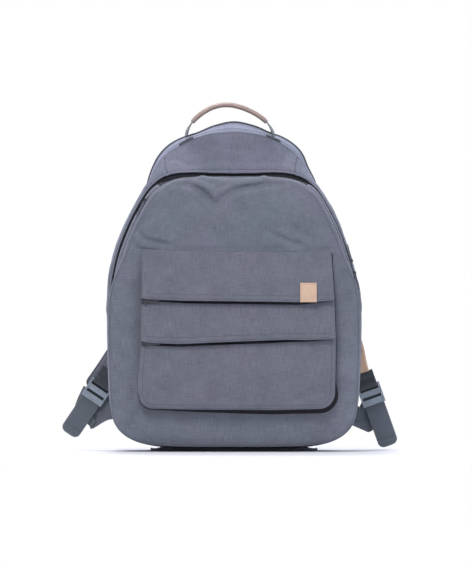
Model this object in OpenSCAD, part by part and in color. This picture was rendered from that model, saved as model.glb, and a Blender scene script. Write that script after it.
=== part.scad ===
// Daypack: a soft-sided pack with a main compartment under a sloping hood, a front
// compartment, a shingled double pocket, a carry handle and two shoulder straps.
// Origin: centre of the base's resting face. +Z up, +Y towards the wearer's back,
// +X to the wearer's right.

/* [Body] */
// Width of the pack body at its widest
body_w = 360; // [345:5:375]
// Height of the pack body
body_h = 465; // [451:2:479]
// Thickness of the shell fabric with its lining
fabric_t = 2.5; // [2:0.1:2.8]
// Thickness of the padded back panel
back_t = 8; // [5:0.5:8]

/* [Front pocket] */
// Width of the front pocket
pocket_w = 272; // [240:2:274]
// Height of the pocket's bottom edge above the base
pocket_z0 = 62; // [58:1:70]
// Height of the upper zip's centre line
zip_upper_z = 210.5; // [209:0.5:212]
// Height of the lower zip's centre line
zip_lower_z = 152; // [150:0.5:153]

/* [Straps and handle] */
// Width of the strap webbing
web_w = 28; // [25:1:30]
// Thickness of the shoulder pads
pad_t = 11; // [8:0.5:11]
// Half the distance between the handle's two ends
handle_half = 60; // [54:1:64]
// Height of the handle above its ends
handle_rise = 47; // [42:1:52]
// Width of the leather label
label_w = 23; // [18:1:28]

/* [Hidden] */
// The outline tables are drawn for a 360 x 465 body.
x_scale = body_w / 360;
z_scale = body_h / 465;

y_back = 62;          // inner plane of the padded back
y_mid = 50;           // depth of the widest outline
y_front = -38;        // depth of the front zip line
shell_front_y = -12;  // front edge of the hood and of the sides above the main zip's ends
shell_rear_y = 61.6;
main_zip_y = -16;
front_zip_y = -33.5;

side_arc_r = 360;     // radius of the mid outline's side
side_arc_centre = [-179.3, 170.5];
front_inset = 8;      // inset of the front zip line on the sides

// ---- General helpers ----
function clamp_unit(v) = min(1, max(0, v));
function lerp(a, b, t) = a + (b - a) * t;
function quad(a, b, c, d) = [[a, b, c], [a, c, d]];

function arc_points(cx, cy, r, from, to, steps) =
  [for (j = [0:steps]) let (a = lerp(from, to, j / steps)) [cx + r * cos(a), cy + r * sin(a)]];

// Rectangle with separate corner radii for its bottom and its top.
function round_rect(x0, z0, x1, z1, r_bottom, r_top = 0.01) = concat(
  arc_points(x1 - r_bottom, z0 + r_bottom, r_bottom, -90, 0, 6),
  arc_points(x1 - r_top, z1 - r_top, r_top, 0, 90, 6),
  arc_points(x0 + r_top, z1 - r_top, r_top, 90, 180, 6),
  arc_points(x0 + r_bottom, z0 + r_bottom, r_bottom, 180, 270, 6));

// Extrudes a front-view outline of [x, z] points from depth y0 to y1.
module through(points, y0, y1)
  translate([0, y1, 0]) rotate([90, 0, 0]) linear_extrude(height = y1 - y0) polygon(points);

// Extrudes a side profile of [y, z] points across the width, centred on x = 0.
module across(points, width)
  rotate([90, 0, 90]) linear_extrude(height = width, center = true) polygon(points);

// ---- Body outlines ----
// Half outlines [x, z] from the base's centre, up the right side, to the top's centre.
// Each point is a station; the same station number matches on every outline.
function side_arc(r) =
  [for (a = [5.5:4.5:32.5]) side_arc_centre + r * [cos(a), sin(a)]];

mid_half = concat(
  [[0, 3], [55, 3], [102, 4.5], [136, 11], [157, 23], [170, 41], [176, 68], [178.5, 105],
    [179.6, 150], [179.4, 188]],
  side_arc(side_arc_r),
  [[111.5, 386], [102, 401], [92, 414.5], [79, 427], [62.5, 438], [45, 445.5], [25, 450],
    [0, 452]]);
front_half = concat(
  [[0, 12], [52, 12], [97, 13.5], [128, 20], [149, 32], [162, 49], [168, 74], [170.5, 108],
    [171.6, 150], [171.4, 186.5]],
  side_arc(side_arc_r - front_inset),
  [[104, 370.5], [92, 377.5], [78, 382.5], [62, 385.5], [45, 387.5], [30, 388.3],
    [15, 388.8], [0, 389]]);
// The top of the back only, which stands a little above the hood's rear seam.
back_top_half = [[113.5, 387], [107.5, 403], [99.5, 417.5], [87, 431], [69.5, 442.5],
  [49.5, 450], [28.5, 459], [0, 464.8]];
back_inset = 4;       // inset of the back outline below its top

half_count = len(mid_half);
station_count = 2 * (half_count - 1);
shoulder = 17;        // first station above the side arc

// Stations run right round the pack: those past half_count mirror the right side.
function wrap(i) = ((i % station_count) + station_count) % station_count;
function half_index(i) = i < half_count ? i : station_count - i;
function placed(point, i) =
  [(i < half_count ? 1 : -1) * point[0] * x_scale, point[1] * z_scale];
function full_loop(half) = [for (i = [0:station_count - 1]) placed(half[half_index(i)], i)];

mid_loop = full_loop(mid_half);
front_loop = full_loop(front_half);
inward_loop = [for (i = [0:station_count - 1])
  let (d = mid_loop[wrap(i + 1)] - mid_loop[wrap(i - 1)]) [-d[1], d[0]] / norm(d)];
back_loop = [for (i = [0:station_count - 1]) let (k = half_index(i))
  k < shoulder ? mid_loop[i] + back_inset * inward_loop[i]
    : placed(back_top_half[k - shoulder], i)];

// How each station runs from the mid outline to the front line: gently at first and late
// on the sides; on the top the hood slopes straight down, then runs level over the zips.
// ease_loop is the exponent of the slope, share_loop the share of the run made on the hood.
ease_loop = [for (i = [0:station_count - 1]) let (k = half_index(i))
  k < shoulder ? 3 : max(1, 3 - (k - shoulder + 1) * 0.5)];
top_share = [[17, 0.5], [18, 0.62], [19, 0.74], [20, 0.83], [21, 0.9], [22, 0.94],
  [24, 0.965]];       // [station, share]
share_loop = [for (i = [0:station_count - 1]) let (k = half_index(i))
  k < shoulder ? 0.35 : lookup(k, top_share)];
hood_part = (y_mid - shell_front_y) / (y_mid - y_front);

// Value of a loop at a station, which may fall between two outline points.
function at(loop, i) =
  let (low = floor(i)) lerp(loop[wrap(low)], loop[wrap(low + 1)], i - low);
function unit(v) = v / norm(v);
function run(t, i) = let (share = at(share_loop, i))
  t < hood_part ? share * pow(t / hood_part, at(ease_loop, i))
    : share + (1 - share) * (t - hood_part) / (1 - hood_part);
function front_fraction(y) = max(0, (y_mid - y) / (y_mid - y_front));

// A point of the pack's outer surface at station i and depth y, moved inward by inset.
function surface_point(i, y, inset) =
  let (
    back = max(0, (y - y_mid) / (y_back - y_mid)),
    target = back > 0 ? at(back_loop, i) : at(front_loop, i),
    t = back > 0 ? back : run(front_fraction(y), i),
    p = lerp(at(mid_loop, i), target, t) + unit(at(inward_loop, i)) * inset
  )
  [p[0], y, p[1]];
function outline(y, inset) =
  [for (i = [0:station_count - 1]) let (p = surface_point(i, y, inset)) [p[0], p[2]]];

// ---- Strips swept round the body ----
function stations(from, to) =
  concat([from], [for (i = [floor(from) + 1:ceil(to) - 1]) i], [to]);
function mirrored(list) = [for (i = [len(list) - 1:-1:0]) station_count - list[i]];
// Stations counted from the base's centre on either side.
function from_base(i) = min(abs(i), station_count - abs(i));

// profile rows are [y, outer inset, inner inset]. Up to station front_step[0] on either
// side the first row's depth is front_step[1] instead.
module strip(list, profile, closed = false, front_step = [-1, 0]) {
  n = len(list);
  rows = len(profile);
  ring = 2 * rows;
  function depth(i, j) =
    j == 0 && from_base(i) <= front_step[0] ? front_step[1] : profile[j][0];
  points = [for (i = list) each concat(
    [for (j = [0:rows - 1]) surface_point(i, depth(i, j), profile[j][1])],
    [for (j = [rows - 1:-1:0]) surface_point(i, depth(i, j), profile[j][2])])];
  skin = [for (s = [0:closed ? n - 1 : n - 2]) let (a = s * ring, b = (s + 1) % n * ring)
    for (j = [0:ring - 1]) let (q = (j + 1) % ring)
      each quad(a + j, a + q, b + q, b + j)];
  end = (n - 1) * ring;
  caps = closed ? [] : [for (j = [0:rows - 2]) each concat(
    quad(j, ring - 1 - j, ring - 2 - j, j + 1),
    quad(end + j, end + j + 1, end + ring - 2 - j, end + ring - 1 - j))];
  polyhedron(points = points, faces = concat(skin, caps), convexity = 8);
}

// The same strip on the right side and on the left.
module strip_pair(list, profile) {
  strip(list, profile);
  strip(mirrored(list), profile);
}

main_zip_start = 8;   // stations where the zips end, low on each side
front_zip_start = 9;
hood_start = shoulder + 0.08;
hood_stations = stations(hood_start, station_count - hood_start);

function shell_profile(depths) = [for (y = depths) [y, 0, fabric_t]];
// Below a zip's end the strip's front edge steps forward, between two close stations.
function lead_stations(start) = concat([for (i = [0:start - 2]) i], [start - 1.1, start - 1.02]);
function lead_step(start, y) = [start - 1.07, y];

module side_gusset(side_stations)
  strip(side_stations, shell_profile([shell_front_y, 5, 26, y_mid, shell_rear_y]),
    front_step = lead_step(main_zip_start, -19.6));
right_side = concat(lead_stations(main_zip_start), stations(main_zip_start, shoulder));

module side_gusset_right() color("slategray") side_gusset(right_side);
module side_gusset_left() color("slategray") side_gusset(mirrored(right_side));
module top_rear_gusset() color("lightslategray")
  strip(hood_stations, shell_profile([49.4, shell_rear_y]));
module hood_panel() color("slategray")
  strip(hood_stations, shell_profile([shell_front_y, 5, 26, 48.3]));

divider_lead = lead_stations(front_zip_start);
divider_stations = concat(
  divider_lead,
  stations(front_zip_start, station_count - front_zip_start),
  [for (i = mirrored(divider_lead)) if (i < station_count) i]);
module divider_gusset() color("slategray")
  strip(divider_stations, shell_profile([-30, -20]), closed = true,
    front_step = lead_step(front_zip_start, -35));

// ---- Flat panels of the body ----
module base_panel() color("dimgray") linear_extrude(height = 2.4)
  polygon(round_rect(-118, -14, 118, 58, 14, 14));
module back_panel() color("gray") through(outline(y_back, 2.4), y_back, y_back + back_t);
module back_foam() color("ghostwhite") through(outline(55.2, 8), 55.2, 61.2);
module laptop_sleeve() color("darkgray") difference() {
  through(round_rect(-118, 16, 118, 268, 10), 47.6, 54.8);
  through(round_rect(-114, 20, 114, 280, 8), 49.6, 56);
}
module divider_panel() color("darkgray") through(outline(-25, fabric_t + 1.2), -26, -24);

// ---- Body zips: each half is a tape with a raised coil edge ----
tape_top = 3;         // insets: the tape's outer face, the coil's outer face, the inner face
coil_top = 1.4;
zip_inner = 4.2;
function zip_rear(y) = [[y + 1.2, coil_top, zip_inner], [y + 3, coil_top, zip_inner],
  [y + 3.1, tape_top, zip_inner], [y + 4, 3.2, zip_inner], [y + 7, 3.2, zip_inner]];
function zip_front(y, tape_end, coil_end) = [
  [y - tape_end, tape_top, zip_inner], [y - coil_end - 0.1, tape_top, zip_inner],
  [y - coil_end, coil_top, zip_inner], [y - 1.2, coil_top, zip_inner]];
front_zip_profile = zip_front(front_zip_y, 5.4, 2.6);

module main_zip_rear_sides() color("black")
  strip_pair(stations(main_zip_start, shoulder), zip_rear(main_zip_y));
module hood_zip_half() color("black") strip(hood_stations, zip_rear(main_zip_y));
module main_zip_front_half() color("black")
  strip(stations(main_zip_start, station_count - main_zip_start), zip_front(main_zip_y, 7, 3));
module front_zip_rear_half() color("black")
  strip(stations(front_zip_start, station_count - front_zip_start), zip_rear(front_zip_y));
module front_zip_front_sides() color("black")
  strip_pair(stations(front_zip_start, 12.96), front_zip_profile);
module front_zip_front_top() color("black")
  strip(stations(13.12, station_count - 13.12), front_zip_profile);
module zip_end_tabs() color("slategray") for (s = [0, 1]) mirror([s, 0, 0]) {
  strip([7.02, 7.94], [[-19.4, 0.2, 1.2], [-12.6, 0.2, 1.2]]);
  strip([8.03, 8.94], [[-35, 0.2, 1.2], [-30.6, 0.2, 1.2]]);
}

// ---- Front panel: a grid of points domed forward from the front zip line ----
panel_first = 2;      // the panel's lowest station
panel_edge = [for (i = [panel_first:half_count - 1])
  [front_half[i][1] * z_scale, front_half[i][0] * x_scale]];  // [z, half width]
panel_top = front_half[half_count - 1][1] * z_scale;
panel_bottom = front_half[panel_first][1] * z_scale;
panel_split_z = 286 * z_scale;  // seam between the lower and upper panels
dome_depth = 22;
// Columns as fractions of the half width.
panel_columns = [-1, -0.975, -0.93, -0.86, -0.6, -0.2, 0.2, 0.6, 0.86, 0.93, 0.975, 1];

function panel_half(z) = lookup(z, panel_edge);
// The dome rounds off within 26 of the sides and bottom and 62 of the top.
function dome_y(x, z) =
  let (m = clamp_unit(min((panel_half(z) - abs(x)) / 26, (z - panel_bottom) / 26,
    (panel_top - z) / 62)))
  y_front - dome_depth * sqrt(max(0, 1 - pow(1 - m, 2)));
function panel_rows(from, to) = [for (i = [from:to]) front_half[i][1] * z_scale];

module domed_panel(rows) {
  nc = len(panel_columns);
  nr = len(rows);
  n = nc * nr;        // point n + a lies behind point a
  points = [for (t = [0, fabric_t]) for (z = rows) for (c = panel_columns)
    let (x = c * panel_half(z)) [x, dome_y(x, z) + t, z]];
  faces = [for (r = [0:nr - 2]) for (c = [0:nc - 2]) let (a = r * nc + c, d = a + nc)
    each concat(quad(a, d, d + 1, a + 1), quad(n + a, n + a + 1, n + d + 1, n + d))];
  bottom_top = [for (c = [0:nc - 2]) let (a = (nr - 1) * nc + c)
    each concat(quad(c, c + 1, n + c + 1, n + c), quad(a, n + a, n + a + 1, a + 1))];
  sides = [for (r = [0:nr - 2]) let (a = r * nc, b = a + nc - 1)
    each concat(quad(a, n + a, n + a + nc, a + nc), quad(b, b + nc, n + b + nc, n + b))];
  polyhedron(points = points, faces = concat(faces, bottom_top, sides), convexity = 8);
}
module front_panel_lower() color("slategray")
  domed_panel(concat([panel_bottom + 0.3], panel_rows(3, 12), [panel_split_z - 0.5]));
module front_panel_upper() color("slategray")
  domed_panel(concat([panel_split_z + 0.5], panel_rows(14, 21), [panel_top - 0.9]));

// ---- Front pocket: three panels overlapping like shingles, two zips under their hems ----
pocket_top = 282;     // top edge of the upper panel
pocket_sheet_t = 1.8;
zip_margin = 4;       // from a zip's centre line to the hem above and the panel below
hem_upper = zip_upper_z + zip_margin;
hem_lower = zip_lower_z + zip_margin;
middle_top = zip_upper_z - zip_margin;
lower_top = zip_lower_z - zip_margin;
hem_y = -82;          // outer face at both hems
panel_head_y = -75.6; // outer face at the top of the middle and lower panels
flap_h = 24;
flap_gap = 0.4;

function pocket_outline(inset) = round_rect(-pocket_w / 2 + inset, pocket_z0 + inset,
  pocket_w / 2 - inset, 283, 26 - inset);
function upper_y(z) = lerp(-63.2, hem_y, (pocket_top - z) / (pocket_top - hem_upper));
function middle_y(z) = lerp(panel_head_y, hem_y, (middle_top - z) / (middle_top - hem_lower));
function slab(y0, z0, y1, z1) =
  [[y0, z0], [y1, z1], [y1 + pocket_sheet_t, z1], [y0 + pocket_sheet_t, z0]];
function upper_slab(z0, z1) = slab(upper_y(z0), z0, upper_y(z1), z1);
function middle_slab(z0, z1) = slab(middle_y(z0), z0, middle_y(z1), z1);

module pocket_upper_panel() color("slategray")
  across(upper_slab(hem_upper + flap_h + flap_gap, pocket_top), pocket_w);
module pocket_upper_flap() color("slategray")
  across(upper_slab(hem_upper, hem_upper + flap_h), pocket_w);
module pocket_middle_panel() color("slategray")
  across(middle_slab(hem_lower + flap_h + flap_gap, middle_top), pocket_w - 0.4);
module pocket_lower_flap() color("slategray")
  across(middle_slab(hem_lower, hem_lower + flap_h), pocket_w);
module pocket_lower_panel() color("slategray") intersection() {
  across(slab(-78, pocket_z0, panel_head_y, lower_top), pocket_w);
  through(pocket_outline(0), -90, -55);
}
// A wall round the sides and bottom, cut to a side profile that leans back at the top.
module pocket_gusset() color("darkslategray") intersection() {
  difference() {
    through(pocket_outline(1.5), -73.4, -60.6);
    through(pocket_outline(3.7), -74, -60);
    translate([-pocket_w, -80, 281.5]) cube([2 * pocket_w, 30, 10]);
  }
  across([[-73.4, 60], [-73.4, 228], [-61.6, 277], [-60.5, 282], [-60.5, 60]], pocket_w);
}

// Section of a flat zip half: [y, distance from the zip's centre line].
flat_zip_section = [[-72.6, 1.2], [-74.2, 1.2], [-74.2, 3], [-72.6, 3], [-72.6, 6.6],
  [-71.4, 6.6], [-71.4, 1.2]];
module flat_zip(z) color("black") for (e = [-1, 1])
  across([for (p = flat_zip_section) [p[0], z + e * p[1]]], pocket_w - 8.4);
module pocket_upper_zip() flat_zip(zip_upper_z);
module pocket_lower_zip() flat_zip(zip_lower_z);

label_x = 92.5;       // left edge of the label
label_bottom = -4.5;  // label edges above the upper hem
label_top = 22;
label_section = [[-2, label_bottom], [-2, label_top], [-0.4, label_top], [-0.4, label_bottom]];
module leather_label() color("burlywood") intersection() {
  translate([label_x + label_w / 2, 0, 0])
    across([for (p = label_section) let (z = hem_upper + p[1]) [upper_y(z) + p[0], z]], label_w);
  through(round_rect(label_x, hem_upper + label_bottom, label_x + label_w,
    hem_upper + label_top, 1.5, 1.5), -90, -70);
}

// ---- Sliders and pulls ----
// Zip slider: +X away from the fabric, Y across the zip, Z along it. Its post runs in the
// gap between the coils; inner_x is the inner face of its inner plate.
bar_x = 2.6;          // the bar that carries the pull
module slider_body(inner_x) color("dimgray") {
  translate([-0.2, -3.5, -5.5]) cube([1.2, 7, 11]);
  translate([inner_x + 1.1, -0.8, -4]) cube([-inner_x - 1.2, 1.6, 8]);
  translate([inner_x, -3.5, -5.5]) cube([1.2, 7, 11]);
  for (s = [-1, 1]) translate([0.9, s * 2.9 - 0.5, -2]) cube([2.9, 1, 4]);
  translate([bar_x, 3, 0]) rotate([90, 0, 0]) cylinder(r = 0.7, h = 6, $fn = 24);
}
// The pull hangs from the slider's bar along -Z.
module slider_pull(length = 22) color("dimgray") difference() {
  union() {
    translate([bar_x, 2.1, 0]) rotate([90, 0, 0]) cylinder(r = 1.5, h = 4.2, $fn = 24);
    translate([2.0, -2.1, -length]) cube([1.2, 4.2, length]);
    translate([2.0, 0, -length]) rotate([0, 90, 0]) cylinder(r = 2.6, h = 1.2, $fn = 32);
  }
  translate([bar_x, 4, 0]) rotate([90, 0, 0]) cylinder(r = 0.85, h = 8, $fn = 24);
  translate([1.5, 0, -length]) rotate([0, 90, 0]) cylinder(r = 1.2, h = 3, $fn = 32);
}

// Places a slider on the side arc at an angle above the horizontal.
module on_arc(angle, y) {
  r = side_arc_r - front_inset * run(front_fraction(y), 12);
  translate([side_arc_centre[0] * x_scale, y, side_arc_centre[1] * z_scale])
    rotate([0, -angle, 0]) translate([r, 0, 0]) children();
}
module at_main_lower() on_arc(13, main_zip_y) children();
module at_main_upper() on_arc(15.8, main_zip_y) rotate([180, 0, 0]) children();
module at_front() mirror([1, 0, 0]) on_arc(31, front_zip_y) children();
// Places a slider near the left end of a pocket zip, its pull towards +X.
module at_pocket(z)
  translate([-124, -75.1, z]) rotate([-90, 0, -90]) rotate([180, 0, 0]) children();

module main_slider_lower() at_main_lower() slider_body(-6.8);
module main_pull_lower() at_main_lower() slider_pull();
module main_slider_upper() at_main_upper() slider_body(-6.8);
module main_pull_upper() at_main_upper() slider_pull();
module front_slider() at_front() slider_body(-7.2);
module front_pull() at_front() slider_pull();
module pocket_upper_slider() at_pocket(zip_upper_z) slider_body(-5.2);
module pocket_upper_pull() at_pocket(zip_upper_z) slider_pull(18);
module pocket_lower_slider() at_pocket(zip_lower_z) slider_body(-5.2);
module pocket_lower_pull() at_pocket(zip_lower_z) slider_pull(18);

// ---- Handle: webbing with a leather wrap round its middle ----
handle_y = 52;
handle_end_z = 452.5; // centre line of the webbing's rounded lower ends
handle_end_r = 9;
handle_end_x = handle_half + 2;

function handle_point(a, offset) = let (s = sin(a))
  [(handle_end_x - 14 * s * s + offset) * cos(a), 441.2 + (handle_rise + offset) * pow(s, 0.9)];
function handle_band(from, to, offset, steps) = concat(
  [for (j = [0:steps]) handle_point(lerp(from, to, j / steps), offset)],
  [for (j = [steps:-1:0]) handle_point(lerp(from, to, j / steps), -offset)]);

module handle_webbing() color("slategray") intersection() {
  union() {
    through(handle_band(0, 26.5, 1, 8), handle_y - 12, handle_y + 12);
    through(handle_band(153.5, 180, 1, 8), handle_y - 12, handle_y + 12);
  }
  across(concat(arc_points(handle_y, handle_end_z, handle_end_r, 180, 360, 16),
    [[handle_y + handle_end_r, 500], [handle_y - handle_end_r, 500]]), 200);
}
module handle_leather() color("burlywood")
  through(handle_band(27, 153, 3.2, 32), handle_y - 9.5, handle_y + 9.5);

// Short webbing ends sewn over the top seam, one under each end of the handle.
top_edge = [for (i = [half_count - 1:-1:shoulder - 1])
  [mid_half[i][0] * x_scale, mid_half[i][1] * z_scale]];
// [x from the handle's end, height above the mid outline]
anchor_section = [[-11, 2.6], [-3, 2.6], [3, 2.6], [11, 2.6], [11, 4.2], [3, 4.2],
  [-3, 4.2], [-11, 4.2]];
module handle_anchors() color("slategray") for (s = [-1, 1])
  through([for (p = anchor_section) let (x = handle_end_x + p[0])
    [s * x, lookup(x, top_edge) + p[1]]], 49.6, 53.4);

// ---- Shoulder straps ----
module strap_yoke() color("slategray") through(round_rect(-112, 372, 112, 408, 6, 6), 70.2, 71.6);

// Turns a centre line of [x, z, half width] rows into a front-view outline.
function direction(line, i) =
  let (a = line[max(0, i - 1)], b = line[min(len(line) - 1, i + 1)])
  unit([b[0] - a[0], b[1] - a[1]]);
function ribbon_edge(line, i, side) = let (d = direction(line, i), w = side * line[i][2])
  [line[i][0] - d[1] * w, line[i][1] + d[0] * w];
function ribbon(line) = concat(
  [for (i = [0:len(line) - 1]) ribbon_edge(line, i, 1)],
  [for (i = [len(line) - 1:-1:0]) ribbon_edge(line, i, -1)]);

pad_right = [[70, 404, 31], [82, 370, 31], [95, 330, 32], [108, 290, 32], [121, 250, 31],
  [134, 215, 30], [147, 185, 27], [156, 161.5, 23]];
leather_right = [[156.6, 160.5, 23], [166, 138, 19], [174, 116, 15.5], [177, 107, 15]];
pad_left = [[-70, 404, 31], [-82, 370, 31], [-95, 330, 32], [-107, 290, 32], [-117, 250, 31],
  [-126, 210, 29], [-135, 175, 28], [-147, 143, 27.5], [-163, 118, 26.5], [-181, 96, 24],
  [-198, 80, 21]];
leather_left = [[-150, 139, 18], [-165, 115, 18], [-181, 96, 17], [-195, 82, 16]];
pad_y = 72.4;
module shoulder_pad_right() color("slategray") through(ribbon(pad_right), pad_y, pad_y + pad_t);
module shoulder_pad_left() color("slategray") through(ribbon(pad_left), pad_y, pad_y + pad_t);
module strap_leather_right() color("burlywood") through(ribbon(leather_right), 73.4, 77);
module strap_leather_left() color("burlywood") through(ribbon(leather_left), 83.6, 85.2);

// ---- Buckles: origin at the ladder lock's centre, -Z down the strap ----
// [x, y, z, lean in the front view]
lock_right = [195, 76, 78, 19.5];
lock_left = [-195, 67.8, 82, -34];
module at_lock(lock)
  translate([lock[0], lock[1], lock[2]]) rotate([0, -lock[3], 0]) children();

rail_w = 2.5;
rail_r = 2.2;
lock_half_w = web_w / 2 + rail_w;
lock_bar_w = 2 * lock_half_w - 1;
rail_bottom = -12.8;
loop_bar_z = 12.6;    // the round bar, level with the rails' upper ends

// Two rails, a round bar for the sewn loop and two flat bars that grip the running webbing.
module ladder_lock() color("darkslategray") {
  for (s = [-1, 1]) translate([s * (lock_half_w - rail_w / 2) - rail_w / 2, 0, 0]) {
    translate([0, -rail_r, rail_bottom]) cube([rail_w, 2 * rail_r, loop_bar_z - rail_bottom]);
    for (z = [rail_bottom, loop_bar_z])
      translate([0, 0, z]) rotate([0, 90, 0]) cylinder(r = rail_r, h = rail_w, $fn = 32);
  }
  translate([-lock_half_w + 0.5, 0, loop_bar_z]) rotate([0, 90, 0])
    cylinder(r = 1.8, h = lock_bar_w, $fn = 32);
  translate([-lock_half_w + 0.5, -1.6, -2]) cube([lock_bar_w, 3.2, 8]);
  translate([-lock_half_w + 0.5, -1.6, -15]) cube([lock_bar_w, 3.2, 9]);
}
module ladder_lock_right() at_lock(lock_right) ladder_lock();
module ladder_lock_left() at_lock(lock_left) ladder_lock();

// Webbing loop round the lock's bar. Its two legs meet at depth y and run up to height top.
loop_w = web_w - 2;
module buckle_loop(y, top) color("black") translate([-loop_w / 2, 0, 0]) {
  translate([0, 0, loop_bar_z]) rotate([0, 90, 0]) difference() {
    cylinder(r = 3.8, h = loop_w, $fn = 48);
    translate([0, 0, -1]) cylinder(r = 2.4, h = web_w, $fn = 48);
    translate([-10, -5, -1]) cube([10, 10, web_w]);
  }
  translate([loop_w / 2, 0, 0]) {
    across([[-3.8, 12.5], [-2.4, 12.5], [-2.4, 15.6], [y + 0.3, 20.8], [y + 0.3, 23],
      [-3.8, 16.4]], loop_w);
    across([[2.4, 12.5], [3.8, 12.5], [3.8, 17], [y + 1.4, 21], [y + 1.4, top], [y, top],
      [y, 20], [2.4, 16]], loop_w);
  }
}
module buckle_loop_right() at_lock(lock_right) buckle_loop(1.4, 34);
module buckle_loop_left() at_lock(lock_left) buckle_loop(2.6, 36);

// Running end of the webbing: out under the lock's lowest bar, then down to a folded hem.
module tail(length) color("slategray") intersection() {
  union() {
    across([[-0.7, -15.9], [0.7, -15.9], [0.7, -17.2], [-2.8, -24], [-2.8, -length],
      [-4.2, -length], [-4.2, -23.4], [-0.7, -16.6]], web_w);
    across([[-2.9, -length], [-2.9, -length + 13], [-1.4, -length + 13], [-1.4, -length]], web_w);
  }
  through(round_rect(-web_w / 2, -length, web_w / 2, -15.9, 9, 1), -5, 1);
}
module tail_webbing_right() at_lock(lock_right) tail(72);
module tail_webbing_left() at_lock(lock_left) tail(66);

// ---- Lower webbing and the wings low on the pack's sides ----
module lower_webbing_right() color("slategray")
  through([[181, 66], [208, 57], [206, 43], [201, 33.5], [173, 41], [175, 52]], 79.2, 80.6);
module lower_webbing_left() color("slategray")
  through([[-204, 84], [-213.5, 90.5], [-222, 74], [-229.6, 53.5], [-224, 51.5], [-212, 40],
    [-203, 32], [-196, 38], [-203, 52], [-201, 70]], 70.3, 71.7);

// A flat wing with a block at its inner edge that reaches forward; block_x is its low-x face.
module wing(points, y, block_x) color("slategray") {
  through(points, y, y + 2);
  translate([block_x, 70.4, 46]) cube([3, y + 2 - 70.4, 24]);
}
module anchor_wing_right()
  wing([[158, 74], [171, 66], [200, 36], [199, 27], [192, 24], [158, 40]], 81, 158);
module anchor_wing_left()
  wing([[-158, 72], [-176, 67], [-190, 57], [-207, 40], [-205, 31], [-198, 29.5],
    [-178, 44], [-158, 42]], 73, -161);

base_panel();
side_gusset_left();
side_gusset_right();
top_rear_gusset();
back_panel();
back_foam();
laptop_sleeve();
divider_panel();
divider_gusset();
main_zip_rear_sides();
main_zip_front_half();
front_zip_rear_half();
front_zip_front_sides();
zip_end_tabs();
front_panel_lower();
pocket_gusset();
pocket_upper_panel();
pocket_middle_panel();
pocket_lower_panel();
pocket_upper_zip();
pocket_lower_zip();
strap_yoke();
handle_anchors();
hood_panel();
hood_zip_half();
front_panel_upper();
front_zip_front_top();
pocket_upper_flap();
leather_label();
pocket_lower_flap();
handle_webbing();
handle_leather();
main_slider_lower();
main_pull_lower();
main_slider_upper();
main_pull_upper();
front_slider();
front_pull();
pocket_upper_slider();
pocket_upper_pull();
pocket_lower_slider();
pocket_lower_pull();
shoulder_pad_left();
shoulder_pad_right();
strap_leather_left();
strap_leather_right();
buckle_loop_left();
buckle_loop_right();
lower_webbing_left();
lower_webbing_right();
anchor_wing_left();
anchor_wing_right();
ladder_lock_left();
ladder_lock_right();
tail_webbing_left();
tail_webbing_right();
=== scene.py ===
# A stuffed cloth backpack standing upright on the floor. Its front faces -y, z is up, and
# +x is "right" as seen from the front. Shapes are worked out in mm and stored in metres.
import math

import bmesh
import bpy
import numpy as np
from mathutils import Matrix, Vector


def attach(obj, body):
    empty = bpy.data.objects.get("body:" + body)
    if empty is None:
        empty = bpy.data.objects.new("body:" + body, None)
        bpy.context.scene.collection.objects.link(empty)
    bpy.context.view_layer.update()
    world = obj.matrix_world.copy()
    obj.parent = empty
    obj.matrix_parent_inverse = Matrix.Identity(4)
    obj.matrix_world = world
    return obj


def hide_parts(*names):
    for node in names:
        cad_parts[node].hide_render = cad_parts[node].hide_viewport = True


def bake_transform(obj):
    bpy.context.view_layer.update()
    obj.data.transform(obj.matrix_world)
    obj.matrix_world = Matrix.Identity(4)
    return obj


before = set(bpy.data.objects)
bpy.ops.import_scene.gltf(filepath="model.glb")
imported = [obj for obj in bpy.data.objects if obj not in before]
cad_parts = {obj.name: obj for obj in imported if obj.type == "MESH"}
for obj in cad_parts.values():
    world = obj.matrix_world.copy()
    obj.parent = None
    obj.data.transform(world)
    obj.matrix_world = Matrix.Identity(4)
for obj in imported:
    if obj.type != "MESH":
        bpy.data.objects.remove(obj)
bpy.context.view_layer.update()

scene = bpy.context.scene
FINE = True
pi = math.pi

MM = 0.001
FORWARD, BACKWARD, UPWARD = (0.0, -1.0, 0.0), (0.0, 1.0, 0.0), (0.0, 0.0, 1.0)
SIDES = (("right", 1), ("left", -1))

# Bends: two bodies and two points (m) for pieces lying between them; put leaves such pieces
# unattached, in place
HOOD = ("pack", "hood", (0, 0.062, 0.465), (0, 0.0388, 0.4777))
LID = ("pack", "front_lid", (0, -0.06, 0.279), (0, -0.06, 0.303))
UPPER_FLAP = ("pack", "upper_flap", (0, -0.076, 0.2455), (0, -0.076, 0.2355))
LOWER_FLAP = ("pack", "lower_flap", (0, -0.079, 0.186), (0, -0.079, 0.177))


# ---------------------------------------------------------------- numbers and noise
def detail(full, quick):
    """A count, or a tuple of counts, for the full or the quick build."""
    return full if FINE else quick


def smooth(low, high, x):
    t = np.clip((np.asarray(x, float) - low) / (high - low), 0, 1)
    return t * t * (3 - 2 * t)


def mix(start, end, t):
    return start + (end - start) * t


def bell(x, centre, width):
    return np.exp(-(((x - centre) / width) ** 2))


def groove(x, centre, width, depth):
    return -depth * bell(x, centre, width)


def quarter(t):
    """A quarter circle that rises from 0 at t = 0 to 1 at t = 1."""
    return np.sqrt(np.maximum(0, 1 - (1 - np.clip(t, 0, 1)) ** 2))


def turned(distance, radius):
    """How far a rounded edge drops at a distance from the edge."""
    return radius * (1 - quarter(distance / radius))


def signed_power(x, power):
    return np.sign(x) * np.abs(x) ** power


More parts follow.
